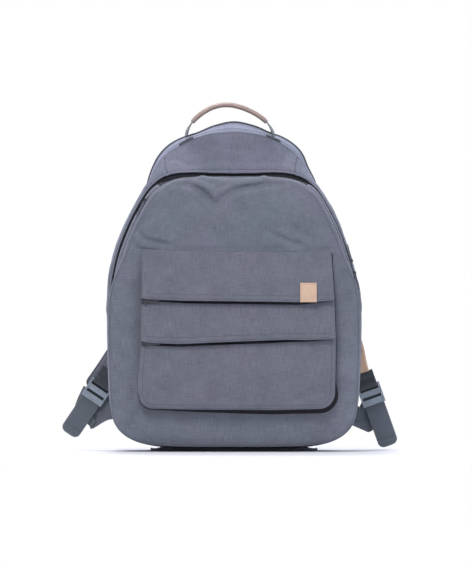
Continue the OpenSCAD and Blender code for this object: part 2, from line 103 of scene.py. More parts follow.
def value_noise(x, y, seed):
    x, y = np.asarray(x, float), np.asarray(y, float)
    xi, yi = np.floor(x).astype(np.int64), np.floor(y).astype(np.int64)
    xf, yf = x - xi, y - yi
    u, v = xf * xf * (3 - 2 * xf), yf * yf * (3 - 2 * yf)

    def corner(a, b):
        n = (a * 374761393 + b * 668265263 + seed * 1274126177) & 0x7FFFFFFF
        n = ((n ^ (n >> 13)) * 1274126177) & 0x7FFFFFFF
        return ((n ^ (n >> 16)) & 0xFFFF) / 32767.5 - 1

    low = mix(corner(xi, yi), corner(xi + 1, yi), u)
    high = mix(corner(xi, yi + 1), corner(xi + 1, yi + 1), u)
    return mix(low, high, v)


def fbm(x, y, seed, octaves=4):
    """Layered noise, each layer twice as fine and half as strong as the last."""
    total, strength = 0, 1.0
    for k in range(octaves):
        layer = value_noise(x * 2**k + 13.7 * k, y * 2**k - 7.1 * k, seed + k)
        total = total + strength * layer
        strength *= 0.5
    return total / 1.9


# ---------------------------------------------------------------- paths and grids
def unit(vectors):
    length = np.linalg.norm(vectors, axis=-1, keepdims=True)
    return vectors / np.maximum(length, 1e-9)


def left_normals(directions):
    """Unit normals on the left of 2D directions."""
    return unit(np.stack([-directions[..., 1], directions[..., 0]], -1))


def tangents(path):
    return unit(np.gradient(path, axis=0))


def lengths_along(path):
    steps = np.linalg.norm(np.diff(path, axis=0), axis=1)
    return np.concatenate([[0], np.cumsum(steps)])


def at_length(values, lengths, at):
    columns = [np.interp(at, lengths, values[:, k]) for k in range(values.shape[1])]
    return np.stack(columns, 1)


def resample(points, count):
    points = np.asarray(points, float)
    lengths = lengths_along(points)
    return at_length(points, lengths, np.linspace(0, lengths[-1], count))


def catmull(points, u, closed=True):
    """A Catmull-Rom curve through points, read at fractional indices u."""
    points = np.asarray(points, float)
    n = len(points)
    i = np.floor(u).astype(int)
    f = (u - i)[..., None]
    if closed:
        p0, p1, p2, p3 = (points[(i + k) % n] for k in (-1, 0, 1, 2))
    else:
        p0, p1, p2, p3 = (points[np.clip(i + k, 0, n - 1)] for k in (-1, 0, 1, 2))
    square = 2 * p0 - 5 * p1 + 4 * p2 - p3
    cube = 3 * p1 - p0 - 3 * p2 + p3
    return 0.5 * (2 * p1 + (p2 - p0) * f + square * f**2 + cube * f**3)


def smooth_path(points, count):
    at = np.linspace(0, len(points) - 1, 12 * len(points))
    return resample(catmull(points, at, closed=False), count)


def profile(*points):
    """A function that interpolates between (position, value) points."""
    positions, values = np.array(points, float).T
    return lambda at: np.interp(at, positions, values)


def offset_path(path, distance, centre):
    """Moves a 2D path sideways, toward the centre."""
    normal = left_normals(np.gradient(path, axis=0))
    normal *= np.sign(((np.array(centre) - path) * normal).sum(1, keepdims=True))
    return path + normal * distance


def seg_dist(x, z, points):
    """Distance to a polyline, and how far along it (0..1) the nearest point is."""
    best = np.full(np.shape(x), 1e9)
    along = np.zeros(np.shape(x))
    points = np.asarray(points, float)
    lengths = np.linalg.norm(np.diff(points, axis=0), axis=1)
    total, run = lengths.sum(), 0.0
    for (ax, az), (bx, bz), length in zip(points[:-1], points[1:], lengths):
        dx, dz = bx - ax, bz - az
        t = np.clip(((x - ax) * dx + (z - az) * dz) / (length * length), 0, 1)
        distance = np.hypot(x - ax - t * dx, z - az - t * dz)
        near = distance < best
        best = np.where(near, distance, best)
        along = np.where(near, (run + t * length) / total, along)
        run += length
    return best, along


def creases(x, z, table):
    """Soft valleys, each with a low swell beside it. Rows are (depth, width, points)."""
    total = 0
    for depth, width, points in table:
        d, along = seg_dist(x, z, points)
        fade = np.sin(pi * np.clip(along, 0.02, 0.98)) ** 0.6
        swell = 0.45 * bell(d, 2.1 * width, 1.3 * width)
        total = total + fade * depth * (swell - bell(d, 0, width))
    return total


def grid_of(first, second):
    return np.meshgrid(first, second, indexing="ij")


def coons(bottom, top, left, right):
    """Fills four boundary curves: bottom and top run along i, left and right along j."""
    s = np.linspace(0, 1, len(bottom))[:, None, None]
    t = np.linspace(0, 1, len(left))[None, :, None]
    corners = ((1 - s) * (1 - t) * bottom[0] + s * (1 - t) * bottom[-1]
               + (1 - s) * t * top[0] + s * t * top[-1])
    rows = (1 - t) * bottom[:, None] + t * top[:, None]
    return rows + (1 - s) * left[None] + s * right[None] - corners


def rounded_rect(counts, x_range, z_range, radius):
    """A square grid pressed into a rectangle with rounded corners."""
    def split(t, low, high):
        value = low + (high - low) * t
        core = np.clip(value, low + radius, high - radius)
        return core, value - core

    across, up = grid_of(*(np.linspace(0, 1, n) for n in counts))
    core_x, dx = split(across, *x_range)
    core_z, dz = split(up, *z_range)
    reach = np.maximum(abs(dx), abs(dz)) / np.maximum(np.hypot(dx, dz), 1e-9)
    pull = np.where((dx != 0) & (dz != 0), reach, 1.0)
    return core_x + dx * pull, core_z + dz * pull


def edge_gap(value, limits):
    return np.minimum(value - limits[0], limits[1] - value)


def normals_of(grid, close_u=False):
    if close_u:
        du = np.roll(grid, -1, 0) - np.roll(grid, 1, 0)
    else:
        du = np.gradient(grid, axis=0)
    return unit(np.cross(du, np.gradient(grid, axis=1)))


def away(points, normals):
    """How strongly normals point away from the pack's middle."""
    spoke = points - np.array([0, 0, 220.0])
    spoke[..., 1] = 0
    return (normals * spoke).sum(-1)


def into_side(grid, close_u=False):
    """Which side of the grid's own normal points into the pack."""
    return -1 if away(grid, normals_of(grid, close_u)).mean() > 0 else 1


def positive_side(grid, axis=1):
    """Which side of the grid's own normal points along +axis (y unless given)."""
    i, j = grid.shape[0] // 2, grid.shape[1] // 2
    return 1 if normals_of(grid)[i, j, axis] > 0 else -1


def on_surface(grid, x, z):
    """Points at (x, z) with the depth of the nearest grid point."""
    grid_x, grid_z = grid[..., 0], grid[..., 2]
    nearest = [np.argmin((grid_x - a) ** 2 + (grid_z - b) ** 2) for a, b in zip(x, z)]
    return np.stack([x, grid.reshape(-1, 3)[nearest, 1], z], 1)


# ---------------------------------------------------------------- the pack's outlines
# Half outlines in front view: (x, z) from the bottom centre, up the right, to the top centre.
FRONT_Y, MAIN_Y, FULL_Y, BACK_Y = -38, -12, 50, 62
SHOULDER_CENTRE = (-179.3, 170.5)
SHOULDER_ANGLES = [5.5, 10, 14.5, 19, 23.5, 28, 32.5]
FULL_RADIUS = 360
FRONT_RADIUS = FULL_RADIUS - 8
LOWER = 17  # stations below the top, shared in form by all outlines


def shoulder(radius):
    angles = [math.radians(a) for a in SHOULDER_ANGLES]
    x, z = SHOULDER_CENTRE
    return [[x + radius * math.cos(a), z + radius * math.sin(a)] for a in angles]


FULL_HALF = [[0, 3], [55, 3], [102, 4.5], [136, 11], [157, 23], [170, 41], [176, 68],
             [178.5, 105], [179.6, 150], [179.4, 188], *shoulder(FULL_RADIUS),
             [111.5, 386], [102, 401], [92, 414.5], [79, 427], [62.5, 438], [45, 445.5],
             [25, 450], [0, 452]]
FRONT_HALF = [[0, 12], [52, 12], [97, 13.5], [128, 20], [149, 32], [162, 49], [168, 74],
              [170.5, 108], [171.6, 150], [171.4, 186.5], *shoulder(FRONT_RADIUS),
              [106.5, 370], [94, 378], [79, 382], [62, 383.8], [45, 384.6], [30, 384.8],
              [15, 384.6], [0, 384.6]]
SKIN_FRONT_HALF = FRONT_HALF[:LOWER] + [
    [104, 370.5], [92, 377.5], [78, 382.5], [62, 385.5], [45, 387.5], [30, 388.3],
    [15, 388.8], [0, 389]]
BACK_TOP = [[113.5, 387], [107.5, 403], [99.5, 417.5], [87, 431], [69.5, 442.5],
            [49.5, 450], [28.5, 459], [0, 464.8]]

# How the skin narrows from the full outline to the front, at each half-outline station
STATIONS = np.arange(25)
EASE = np.clip(3 - 0.5 * (STATIONS - 16), 1, 3)
SHARE = [0.35] * LOWER + [0.5, 0.62, 0.74, 0.83, 0.9, 0.94, 0.952, 0.965]
TURNS = 2 * (len(STATIONS) - 1)  # stations round a whole outline


def mirrored(half):
    half = np.asarray(half, float)
    return np.vstack([half, (half[1:-1] * [-1, 1])[::-1]])


FULL = mirrored(FULL_HALF)
FRONT = mirrored(FRONT_HALF)
SKIN_FRONT = mirrored(SKIN_FRONT_HALF)


def inward(u):
    return left_normals(catmull(FULL, u + 0.05) - catmull(FULL, u - 0.05))


LOWER_U = np.arange(float(LOWER))
BACK = mirrored(np.vstack([catmull(FULL, LOWER_U) + 4 * inward(LOWER_U), BACK_TOP]))


def fold(u):
    """Maps left-hand stations onto the matching right-hand ones."""
    u = np.mod(u, TURNS)
    return np.minimum(u, TURNS - u)


def skin(u, y, inset=0.0):
    """The pack's outer surface at outline station u and depth y, moved inward by inset."""
    u, y = np.broadcast_arrays(np.asarray(u, float), np.asarray(y, float))
    station = fold(u)
    share = np.interp(station, STATIONS, SHARE)
    ease = np.interp(station, STATIONS, EASE)
    depth = np.clip((FULL_Y - y) / (FULL_Y - FRONT_Y), 0, 1.2)
    bend = (FULL_Y - MAIN_Y) / (FULL_Y - FRONT_Y)
    behind_bend = share * (np.minimum(depth, bend) / bend) ** ease
    before_bend = share + (1 - share) * (depth - bend) / (1 - bend)
    narrow = np.where(depth < bend, behind_bend, before_bend)[..., None]
    back = np.clip((y - FULL_Y) / (BACK_Y - FULL_Y), 0, 1.2)[..., None]
    full = catmull(FULL, u)
    to_back, to_front = mix(full, catmull(BACK, u), back), mix(full, catmull(SKIN_FRONT, u), narrow)
    p = np.where(back > 0, to_back, to_front)
    p = p + inward(u) * np.asarray(inset, float)[..., None]
    return np.stack([p[..., 0], y, p[..., 1]], -1)


SHOULDER_LEAN = 6.5


def shoulder_reach(x):
    return SHOULDER_LEAN * smooth(-20, -95, x)


def lean(points):
    """Widens the left shoulder and narrows the right; the front zip line stays in place."""
    points = np.array(points, float)
    x, y, z = points[..., 0].copy(), points[..., 1], points[..., 2]
    behind = smooth(-31, 4, y)
    points[..., 0] -= behind * shoulder_reach(x) * smooth(190, 300, z) * (1 - smooth(434, 456, z))
    points[..., 0] -= behind * 4.0 * bell(z, centre=402, width=18) * smooth(50, 95, x)
    return points


def ring_grid(outline, count_i, count_j):
    """Fills a closed outline, with its corners at fixed stations low and high on each side."""
    low, high = 3.6, 17.4

    def side(start, end, count):
        return resample(outline(np.linspace(start, end, 12 * count)), count)

    return coons(side(-low, low, count_i), side(TURNS - high, high, count_i),
                 side(TURNS - low, TURNS - high, count_j), side(low, high, count_j))


# ---------------------------------------------------------------- materials
MATERIALS = {}
BLACK, WHITE = (0, 0, 0), (1, 1, 1)


def configure(tree, node, **settings):
    """Sets inputs and attributes. An input's spaces are underscores; a socket gets linked."""
    for key, value in settings.items():
        label = key.replace("_", " ")
        if label not in node.inputs:
            setattr(node, key, value)
        elif isinstance(value, bpy.types.NodeSocket):
            tree.links.new(value, node.inputs[label])
        else:
            node.inputs[label].default_value = value


def add_node(tree, kind, **settings):
    node = tree.nodes.new(kind)
    configure(tree, node, **settings)
    return node


class Shader:
    """A new material with a Principled surface, and short ways to add its nodes."""

    def __init__(self, name):
        material = MATERIALS[name] = bpy.data.materials.new(name)
        material.use_nodes = True
        self.tree = material.node_tree
        self.tree.nodes.clear()
        self.output = self.add("ShaderNodeOutputMaterial")
        self.principled = self.add("ShaderNodeBsdfPrincipled")
        self.link(self.principled.outputs["BSDF"], self.output.inputs["Surface"])

    def add(self, kind, **settings):
        return add_node(self.tree, kind, **settings)

    def link(self, source, target):
        self.tree.links.new(source, target)

    def surface(self, **settings):
        configure(self.tree, self.principled, **settings)

    def math(self, operation, *values):
        node = self.add("ShaderNodeMath", operation=operation)
        for socket, value in zip(node.inputs, values):
            if isinstance(value, bpy.types.NodeSocket):
                self.link(value, socket)
            else:
                socket.default_value = value
        return node.outputs[0]

    def weighted(self, *terms):
        """Sum of (socket, weight) terms."""
        total = None
        for socket, weight in terms:
            term = self.math("MULTIPLY", socket, weight)
            total = term if total is None else self.math("ADD", total, term)
        return total

    def uv(self, scale_u=1, scale_v=1):
        uv_map = self.add("ShaderNodeUVMap", uv_map="UVMap")
        mapping = self.add("ShaderNodeMapping", Scale=(scale_u, scale_v, 1),
                           Vector=uv_map.outputs["UV"])
        return mapping.outputs["Vector"]

    def wave(self, vector, direction, **settings):
        """Bands one unit of the vector apart."""
        node = self.add("ShaderNodeTexWave", wave_type="BANDS", bands_direction=direction,
                        Scale=pi / 10, Vector=vector, **settings)
        return node.outputs["Fac"]

    def noise(self, vector, scale, detail=4, rough=0.55):
        node = self.add("ShaderNodeTexNoise", Scale=scale, Detail=detail, Roughness=rough,
                        Vector=vector)
        return node.outputs["Fac"]

    def cells(self, vector, scale, **settings):
        node = self.add("ShaderNodeTexVoronoi", feature="DISTANCE_TO_EDGE", Scale=scale,
                        Vector=vector, **settings)
        return node.outputs["Distance"]

    def ramp(self, factor, *stops):
        """Colour ramp from (position, colour) stops."""
        node = self.add("ShaderNodeValToRGB", Fac=factor)
        elements = node.color_ramp.elements
        for element, (position, colour) in zip(elements, (stops[0], stops[-1])):
            element.position, element.color = position, (*colour, 1)
        for position, colour in stops[1:-1]:
            elements.new(position).color = (*colour, 1)
        return node.outputs["Color"]

    def worn(self, colour, start, end, amount, worn_colour):
        """Mixes another colour in on raised edges."""
        mixer = self.add("ShaderNodeMix", data_type="RGBA", blend_type="MIX", A=colour,
                         B=(*worn_colour, 1))
        edges = self.add("ShaderNodeNewGeometry").outputs["Pointiness"]
        raised = self.ramp(edges, (start, BLACK), (end, WHITE))
        self.link(self.math("MULTIPLY", raised, amount), mixer.inputs["Factor"])
        return mixer.outputs["Result"]

    def bump(self, height, strength, distance, **settings):
        node = self.add("ShaderNodeBump", Strength=strength, Distance=distance,
                        Height=height, **settings)
        self.surface(Normal=node.outputs["Normal"])


def lighter(colour, factor, lift=0.0):
    return tuple(np.minimum(colour * factor + lift, 1))


def woven(name, base, pitch=0.0009, contrast=0.25, bump=0.35, sheen=0.35, rough=0.86, wear=0.1):
    """Plain-weave cloth: crossed threads, slubby yarn colour, faint wear; UVs in metres."""
    base = np.array(base)
    shader = Shader(name)
    vector = shader.uv(1 / pitch, 1 / pitch)
    bands = [shader.wave(vector, axis, Distortion=0.6, Detail=1.0) for axis in "XY"]
    weave = shader.math("ADD", *bands)
    warp = shader.noise(shader.uv(1500, 60), scale=1.0, detail=2)
    weft = shader.noise(shader.uv(60, 1500), scale=1.0, detail=2)
    slub = shader.math("ADD", warp, weft)
    cloud = shader.noise(shader.uv(), scale=26.0, detail=5, rough=0.6)
    tone = shader.weighted((slub, 0.42), (cloud, 0.3), (weave, 0.05))
    spread = contrast * 1.5
    colour = shader.ramp(tone, (0.42, tuple(base * (1 - spread))), (0.62, tuple(base)),
                         (0.82, lighter(base, 1 + spread)))
    # a slow drift between a greener and a pinker cast
    drift = shader.add("ShaderNodeMix", data_type="RGBA", blend_type="MULTIPLY", Factor=1.0,
                       A=colour)
    patches = shader.noise(shader.uv(), scale=11.0, detail=3, rough=0.55)
    casts = shader.ramp(patches, (0.36, (0.92, 0.96, 0.94)), (0.64, (1.0, 0.965, 0.99)))
    shader.link(casts, drift.inputs["B"])
    colour = shader.worn(drift.outputs["Result"], start=0.50, end=0.60, amount=wear,
                         worn_colour=lighter(base, 1.8, lift=0.03))
    shader.surface(Base_Color=colour, Roughness=rough, Specular_IOR_Level=0.25,
                   Sheen_Weight=sheen, Sheen_Roughness=0.45, Sheen_Tint=(0.7, 0.72, 0.9, 1))
    shader.bump(shader.weighted((weave, 0.5), (slub, 0.8)), strength=bump, distance=0.0004)


def ribbed(name, base, rib=0.0016):
    """Narrow woven webbing: ribs along the length crossed by a fine herringbone."""
    base = np.array(base)
    shader = Shader(name)
    ribs = shader.wave(shader.uv(1 / rib, 1 / rib), "X", Distortion=0.3)
    crossing = shader.wave(shader.uv(1.6 / rib, 2.2 / rib), "DIAGONAL", Distortion=0.5)
    yarn = shader.noise(shader.uv(300, 1200), scale=1.0, detail=3)
    relief = shader.weighted((ribs, 0.5), (crossing, 0.3), (yarn, 0.4))
    colour = shader.ramp(relief, (0.2, tuple(base * 0.6)), (0.6, tuple(base)),
                         (1.0, lighter(base, 1.5)))
    shader.surface(Base_Color=colour, Roughness=0.7, Sheen_Weight=0.25)
    shader.bump(relief, strength=0.6, distance=0.0005)


def leather(name, base):
    base = np.array(base)
    shader = Shader(name)
    grain = shader.cells(shader.uv(), scale=900.0)
    pores = shader.noise(shader.uv(), scale=420.0, detail=5, rough=0.65)
    cloud = shader.noise(shader.uv(), scale=45.0, detail=4, rough=0.6)
    tone = shader.weighted((cloud, 0.6), (pores, 0.4))
    colour = shader.ramp(tone, (0.3, tuple(base * 0.72)), (0.52, tuple(base)),
                         (0.75, lighter(base, 1.18)))
    colour = shader.worn(colour, start=0.52, end=0.62, amount=0.5,
                         worn_colour=lighter(base, 1.25, lift=0.02))
    shader.surface(Base_Color=colour, Roughness=0.5, Subsurface_Weight=0.05,
                   Subsurface_Radius=(0.002, 0.001, 0.0006))
    shader.bump(shader.weighted((grain, 1.5), (pores, 0.6)), strength=0.45, distance=0.0003)


def spacer_mesh(name, base):
    """Open knitted mesh: pale threads round dark cells."""
    base = np.array(base)
    shader = Shader(name)
    cells = shader.cells(shader.uv(1, 0.7), scale=330.0, Randomness=0.25)
    colour = shader.ramp(cells, (0.05, tuple(base * 1.5)), (0.22, tuple(base * 0.35)))
    shader.surface(Base_Color=colour, Roughness=0.9, Sheen_Weight=0.2)
    shader.bump(cells, strength=0.9, distance=0.0009, invert=True)


def solid(name, base, rough, metal=0.0, grain=0.0):
    """An even finish with slight colour and gloss changes, and grain if asked for."""
    base = np.array(base)
    shader = Shader(name)
    vector = shader.add("ShaderNodeTexCoord").outputs["Object"]
    mottle = shader.add("ShaderNodeTexNoise", Scale=180.0, Detail=5.0, Vector=vector)
    mottle = mottle.outputs["Fac"]
    colour = shader.ramp(mottle, (0.3, tuple(base * 0.85)), (0.7, lighter(base, 1.15)))
    gloss = shader.ramp(mottle, (0.3, (rough * 0.8,) * 3), (0.7, (min(rough * 1.2, 1),) * 3))
    shader.surface(Base_Color=colour, Roughness=gloss, Metallic=metal)
    if grain:
        fine = shader.add("ShaderNodeTexNoise", Scale=2500.0, Detail=3.0, Vector=vector)
        shader.bump(fine.outputs["Fac"], strength=grain, distance=0.0001)


woven("canvas", (0.154, 0.165, 0.200), wear=0.04)
woven("pocket_canvas", (0.148, 0.151, 0.186), wear=0.04)
# canvas tinted bluer for the light falling on the upward-facing hood: painted light
woven("hood_canvas", (0.152, 0.156, 0.204), sheen=0.2)
# pale canvas for the rear band along the top: painted highlight where light from above catches it
woven("band_canvas_painted_highlight", (0.300, 0.315, 0.415), sheen=0.4)
# canvas for the hood's sides, coloured for the light falling on them: painted light
woven("side_canvas_painted_light", (0.150, 0.158, 0.206), sheen=0.2)
# near-black cloth for the pocket's wall: painted shade in the gap round the pocket
woven("gusset_painted_shade", (0.014, 0.014, 0.018), pitch=0.0008, contrast=0.1, sheen=0.0, wear=0.0)
woven("lining", (0.20, 0.21, 0.24), pitch=0.0006, contrast=0.06, bump=0.15, sheen=0.2)
woven("base_cloth", (0.100, 0.106, 0.132), pitch=0.0013, contrast=0.2, rough=0.6)
woven("tape", (0.030, 0.032, 0.042), pitch=0.0008, contrast=0.1, sheen=0.08, wear=0.0)
ribbed("webbing", (0.098, 0.114, 0.138))
# darker copy of the webbing: painted shade for webbing round and behind the buckle bars
ribbed("webbing_painted_shade", (0.040, 0.048, 0.058))
# lighter copy of the webbing: painted sheen
ribbed("webbing_painted_sheen", (0.135, 0.155, 0.168), rib=0.0012)
woven("binding", (0.075, 0.078, 0.095), pitch=0.0007, contrast=0.1)
leather("leather", (0.61, 0.410, 0.292))
leather("leather_pink", (0.400, 0.290, 0.255))
spacer_mesh("back_mesh", (0.05, 0.054, 0.062))
solid("foam", (0.5, 0.5, 0.52), rough=0.95, grain=0.4)
solid("coil", (0.012, 0.012, 0.016), rough=0.35)
solid("thread", (0.070, 0.074, 0.092), rough=0.8)
solid("thread_tan", (0.50, 0.36, 0.27), rough=0.8)
solid("slider_metal", (0.11, 0.11, 0.12), rough=0.35, metal=1.0)
solid("buckle_plastic", (0.250, 0.290, 0.345), rough=0.40, grain=0.2)


# ---------------------------------------------------------------- mesh building
def make_mesh(name, verts, faces, uvs, mats, mat_index=None, sharp=50):
    """An object from mm positions and UVs. Edges over sharp degrees are marked sharp."""
    mesh = bpy.data.meshes.new(name)
    mesh.from_pydata((np.asarray(verts, float) * MM).tolist(), [], faces)
    layer = mesh.uv_layers.new(name="UVMap")
    loops = np.zeros(len(mesh.loops), np.int32)
    mesh.loops.foreach_get("vertex_index", loops)
    layer.data.foreach_set("uv", (np.asarray(uvs, float)[loops] * MM).ravel())
    if mat_index is not None:
        mesh.polygons.foreach_set("material_index", np.asarray(mat_index, np.int32))
    mesh.polygons.foreach_set("use_smooth", np.ones(len(mesh.polygons), bool))
    mesh.update()
    if sharp:
        mesh.set_sharp_from_angle(angle=math.radians(sharp))
    ob = bpy.data.objects.new(name, mesh)
    scene.collection.objects.link(ob)
    for material in mats:
        mesh.materials.append(MATERIALS[material])
    # turn all faces outward
    bm = bmesh.new()
    bm.from_mesh(mesh)
    bmesh.ops.recalc_face_normals(bm, faces=bm.faces)
    bm.to_mesh(mesh)
    bm.free()
    return ob


def get_coords(mesh):
    coords = np.zeros(len(mesh.vertices) * 3)
    mesh.vertices.foreach_get("co", coords)
    return coords.reshape(-1, 3)


def set_coords(mesh, coords):
    mesh.vertices.foreach_set("co", coords.ravel())
    mesh.update()


def grid_uv(grid):
    du = np.linalg.norm(np.diff(grid, axis=0), axis=-1)
    dv = np.linalg.norm(np.diff(grid, axis=1), axis=-1)
    u = np.concatenate([[0], np.cumsum(du.mean(1))])
    v = np.concatenate([[0], np.cumsum(dv.mean(0))])
    return np.stack(grid_of(u, v), -1)


def shell(name, grid, thick, side, mats, close_u=False, round_ends=True, index=None,
          rim_index=None):
    """A sheet of the given thickness behind the grid, along side * its normal.

    Its v edges are rolled if round_ends, and its u ends are capped unless close_u. The last
    material covers the inner face; index gives outer faces and rim_index the end rim theirs.
    """
    nu, nv = grid.shape[:2]
    inner = grid + normals_of(grid, close_u) * side * thick
    uv = grid_uv(grid)

    def rim(edge, neighbour):
        outer, inside = grid[:, edge], inner[:, edge]
        out = unit(outer - grid[:, neighbour])
        centre, half = (outer + inside) / 2, (outer - inside) / 2
        radius = np.linalg.norm(half, axis=1, keepdims=True)
        return [centre + half * math.cos(a) + out * radius * math.sin(a)
                for a in (pi / 4, pi / 2, 3 * pi / 4)]

    end = rim(nv - 1, nv - 2) if round_ends else []
    start = rim(0, 1)[::-1] if round_ends else []
    roll = len(end)
    step = np.array([0, 0.8])
    back = range(nv - 1, -1, -1)
    columns = ([grid[:, j] for j in range(nv)] + end + [inner[:, j] for j in back] + start)
    uvs = ([uv[:, j] for j in range(nv)] + [uv[:, -1] + step * (k + 1) for k in range(roll)]
           + [uv[:, j] for j in back] + [uv[:, 0] - step * (k + 1) for k in range(roll)])
    count = len(columns)
    rows = nu if close_u else nu - 1
    ids = np.arange(nu * count).reshape(nu, count).tolist()
    faces = []
    for i in range(rows):
        a, b = ids[i], ids[(i + 1) % nu]
        for j in range(count):
            k = (j + 1) % count
            faces.append((a[j], b[j], b[k], a[k]) if side < 0 else (a[j], a[k], b[k], b[j]))

    material = np.zeros((rows, count), int)
    if index is not None:
        material[:, :nv - 1] = index
        material[:, nv - 1:nv + roll] = index[:, -1:]
    if rim_index is not None:
        material[:, nv - 1:nv + roll] = rim_index
    material[:, nv + roll:2 * nv + roll - 1] = len(mats) - 1
    material = material.ravel().tolist()

    if not close_u:
        last = count - roll - 1  # the inner column behind outer column 0
        caps = [(j, j + 1, last - j - 1, last - j) for j in range(nv - 1)]
        if round_ends:
            caps.append(tuple(range(nv - 1, nv + roll + 1)))
            caps.append((*range(last, count), 0))
        for row, first in ((ids[0], True), (ids[-1], False)):
            for cap in caps:
                face = tuple(row[k] for k in cap)
                faces.append(face[::-1] if first ^ (side > 0) else face)
                material.append(0)
    ob = make_mesh(name, np.stack(columns, 1).reshape(-1, 3), faces,
                   np.stack(uvs, 1).reshape(-1, 2), mats, material)
    ob["_n"] = 0  # marks the object as a sheet
    return ob


def sweep(name, sections, uvs, mat, sharp, closed=False):
    """Joins rings of points into a tube, capped unless closed."""
    n, m = sections.shape[:2]
    ids = np.arange(n * m).reshape(n, m).tolist()
    faces = []
    for i in range(n if closed else n - 1):
        a, b = ids[i], ids[(i + 1) % n]
        faces += [(a[j], a[(j + 1) % m], b[(j + 1) % m], b[j]) for j in range(m)]
    if not closed:
        faces += [tuple(ids[0][::-1]), tuple(ids[-1])]
    return make_mesh(name, sections.reshape(-1, 3), faces, uvs.reshape(-1, 2), (mat,),
                     sharp=sharp)


def tube(name, path, radius, closed=False, sides=10):
    """A round binding or piping along a path."""
    if closed:
        direction = unit(np.roll(path, -1, 0) - np.roll(path, 1, 0))
    else:
        direction = tangents(path)
    a = unit(np.cross(direction, BACKWARD))
    b = np.cross(direction, a)
    angle = (np.arange(sides) * 2 * pi / sides)[None, :, None]
    sections = path[:, None] + radius * (a[:, None] * np.cos(angle) + b[:, None] * np.sin(angle))
    uvs = np.stack(grid_of(lengths_along(path), angle.ravel() * radius)[::-1], -1)
    return sweep(name, sections, uvs, "binding", sharp=80, closed=closed)


def stitches(name, runs, mat="thread", pitch=3.6, length=2.5, radius=0.36, lift=0.12):
    """Short thread capsules along runs of (points, outward normal or normals)."""
    ends = (-1, -0.62, 0.62, 1)  # along half a stitch: two buried tips and the raised rings
    tip_lift = -0.25
    template = []
    for j in range(6):
        k = (j + 1) % 6
        template += [(0, 1 + k, 1 + j), (1 + j, 1 + k, 7 + k, 7 + j), (13, 7 + j, 7 + k)]
    angle = (np.arange(6) * pi / 3)[:, None]
    parts = []
    for points, normals in runs:
        normals = np.broadcast_to(np.asarray(normals, float), points.shape)
        s = lengths_along(points)
        count = int(s[-1] / pitch)
        centres = (np.arange(count) + 0.5) * s[-1] / count
        tip0, ring0, ring1, tip1 = (
            at_length(points, s, centres + d * length / 2)[:, None] for d in ends)
        normal = unit(at_length(normals, s, centres))[:, None]
        side = np.cross(unit(tip1 - tip0), normal)
        circle = radius * (side * np.cos(angle) + normal * np.sin(angle))
        parts.append(np.concatenate([
            tip0 + normal * tip_lift, ring0 + normal * lift + circle,
            ring1 + normal * lift + circle, tip1 + normal * tip_lift], 1))
    verts = np.concatenate(parts).reshape(-1, 3)
    faces = [tuple(base + k for k in face) for base in range(0, len(verts), 14)
             for face in template]
    return make_mesh(name, verts, faces, verts[:, [0, 2]], (mat,), sharp=0)


def band(name, path, across, width, thick, mat, taper=1.0, n_across=12):
    """Webbing: a flat rounded section swept along path, its width along across."""
    path = np.asarray(path, float)
    n = len(path)
    direction = tangents(path)
    across = np.broadcast_to(np.asarray(across, float), (n, 3))
    across = unit(across - direction * (across * direction).sum(1, keepdims=True))
    normal = np.cross(direction, across)
    half_width = np.broadcast_to(width / 2 * np.asarray(taper), (n,))
    half_thick = thick / 2
    steps = np.linspace(-1, 1, n_across)
    nose = 1 + 0.45 * half_thick / (width / 2)  # the rounded edge stands out this far
    section = ([(x, 1.0) for x in steps] + [(nose, 0.0)]
               + [(x, -1.0) for x in steps[::-1]] + [(-nose, 0.0)])
    s = lengths_along(path)
    verts = np.stack([path + across * (half_width * a)[:, None] + normal * (half_thick * b)
                      for a, b in section], 1)
    uvs = np.stack([np.stack([half_width * a, s + (0 if b >= 0 else 0.7)], 1)
                    for a, b in section], 1)
    return sweep(name, verts, uvs, mat, sharp=55)


def join(name, obs):
    """Joins meshes into one object, keeping their materials."""
    bpy.ops.object.select_all(action="DESELECT")
    for ob in obs:
        ob.select_set(True)
    bpy.context.view_layer.objects.active = obs[0]
    bpy.ops.object.join()
    obs[0].name = name
    obs[0].data.name = name
    return obs[0]


def put(ob, slot, motion, *replaced):
    """Attaches a piece to its body, or bakes its transform when given a bend, and hides the CAD
    nodes it stands for; slot is not used.
    """
    if isinstance(motion, str):
        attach(ob, motion)
    else:
        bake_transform(ob)
    if replaced:
        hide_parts(*replaced)


# ---------------------------------------------------------------- body skin
BODY_BACK_Y = 61.8
BODY_SEAM_Y = 49.4  # seam across the top, ahead of the rear band
ROUND_BODY = 1350  # length taken for a trip round the outline, for the noise
HOOD_FOLDS = (  # depth, width, (x, y) points
    (1.3, 6, [(-70, 20), (-35, 30), (5, 22), (40, 26)]),
    (0.9, 5, [(-60, 2), (-20, 8), (30, 2), (70, 8)]),
    (1.1, 5, [(30, 36), (55, 24), (80, 8)]),
    (1.0, 5, [(-88, 30), (-70, 14), (-60, -4)]),
)


def body_edge(u):
    """Depth of the skin's front edge; it comes further forward under the zip ends."""
    return MAIN_Y - 7.6 * (1 - smooth(6.93, 7.12, fold(u)))


def hood_seam(y):
    """Outline station of the hood's side seam."""
    return np.interp(y, [MAIN_Y, FULL_Y], [18.45, 19.0])


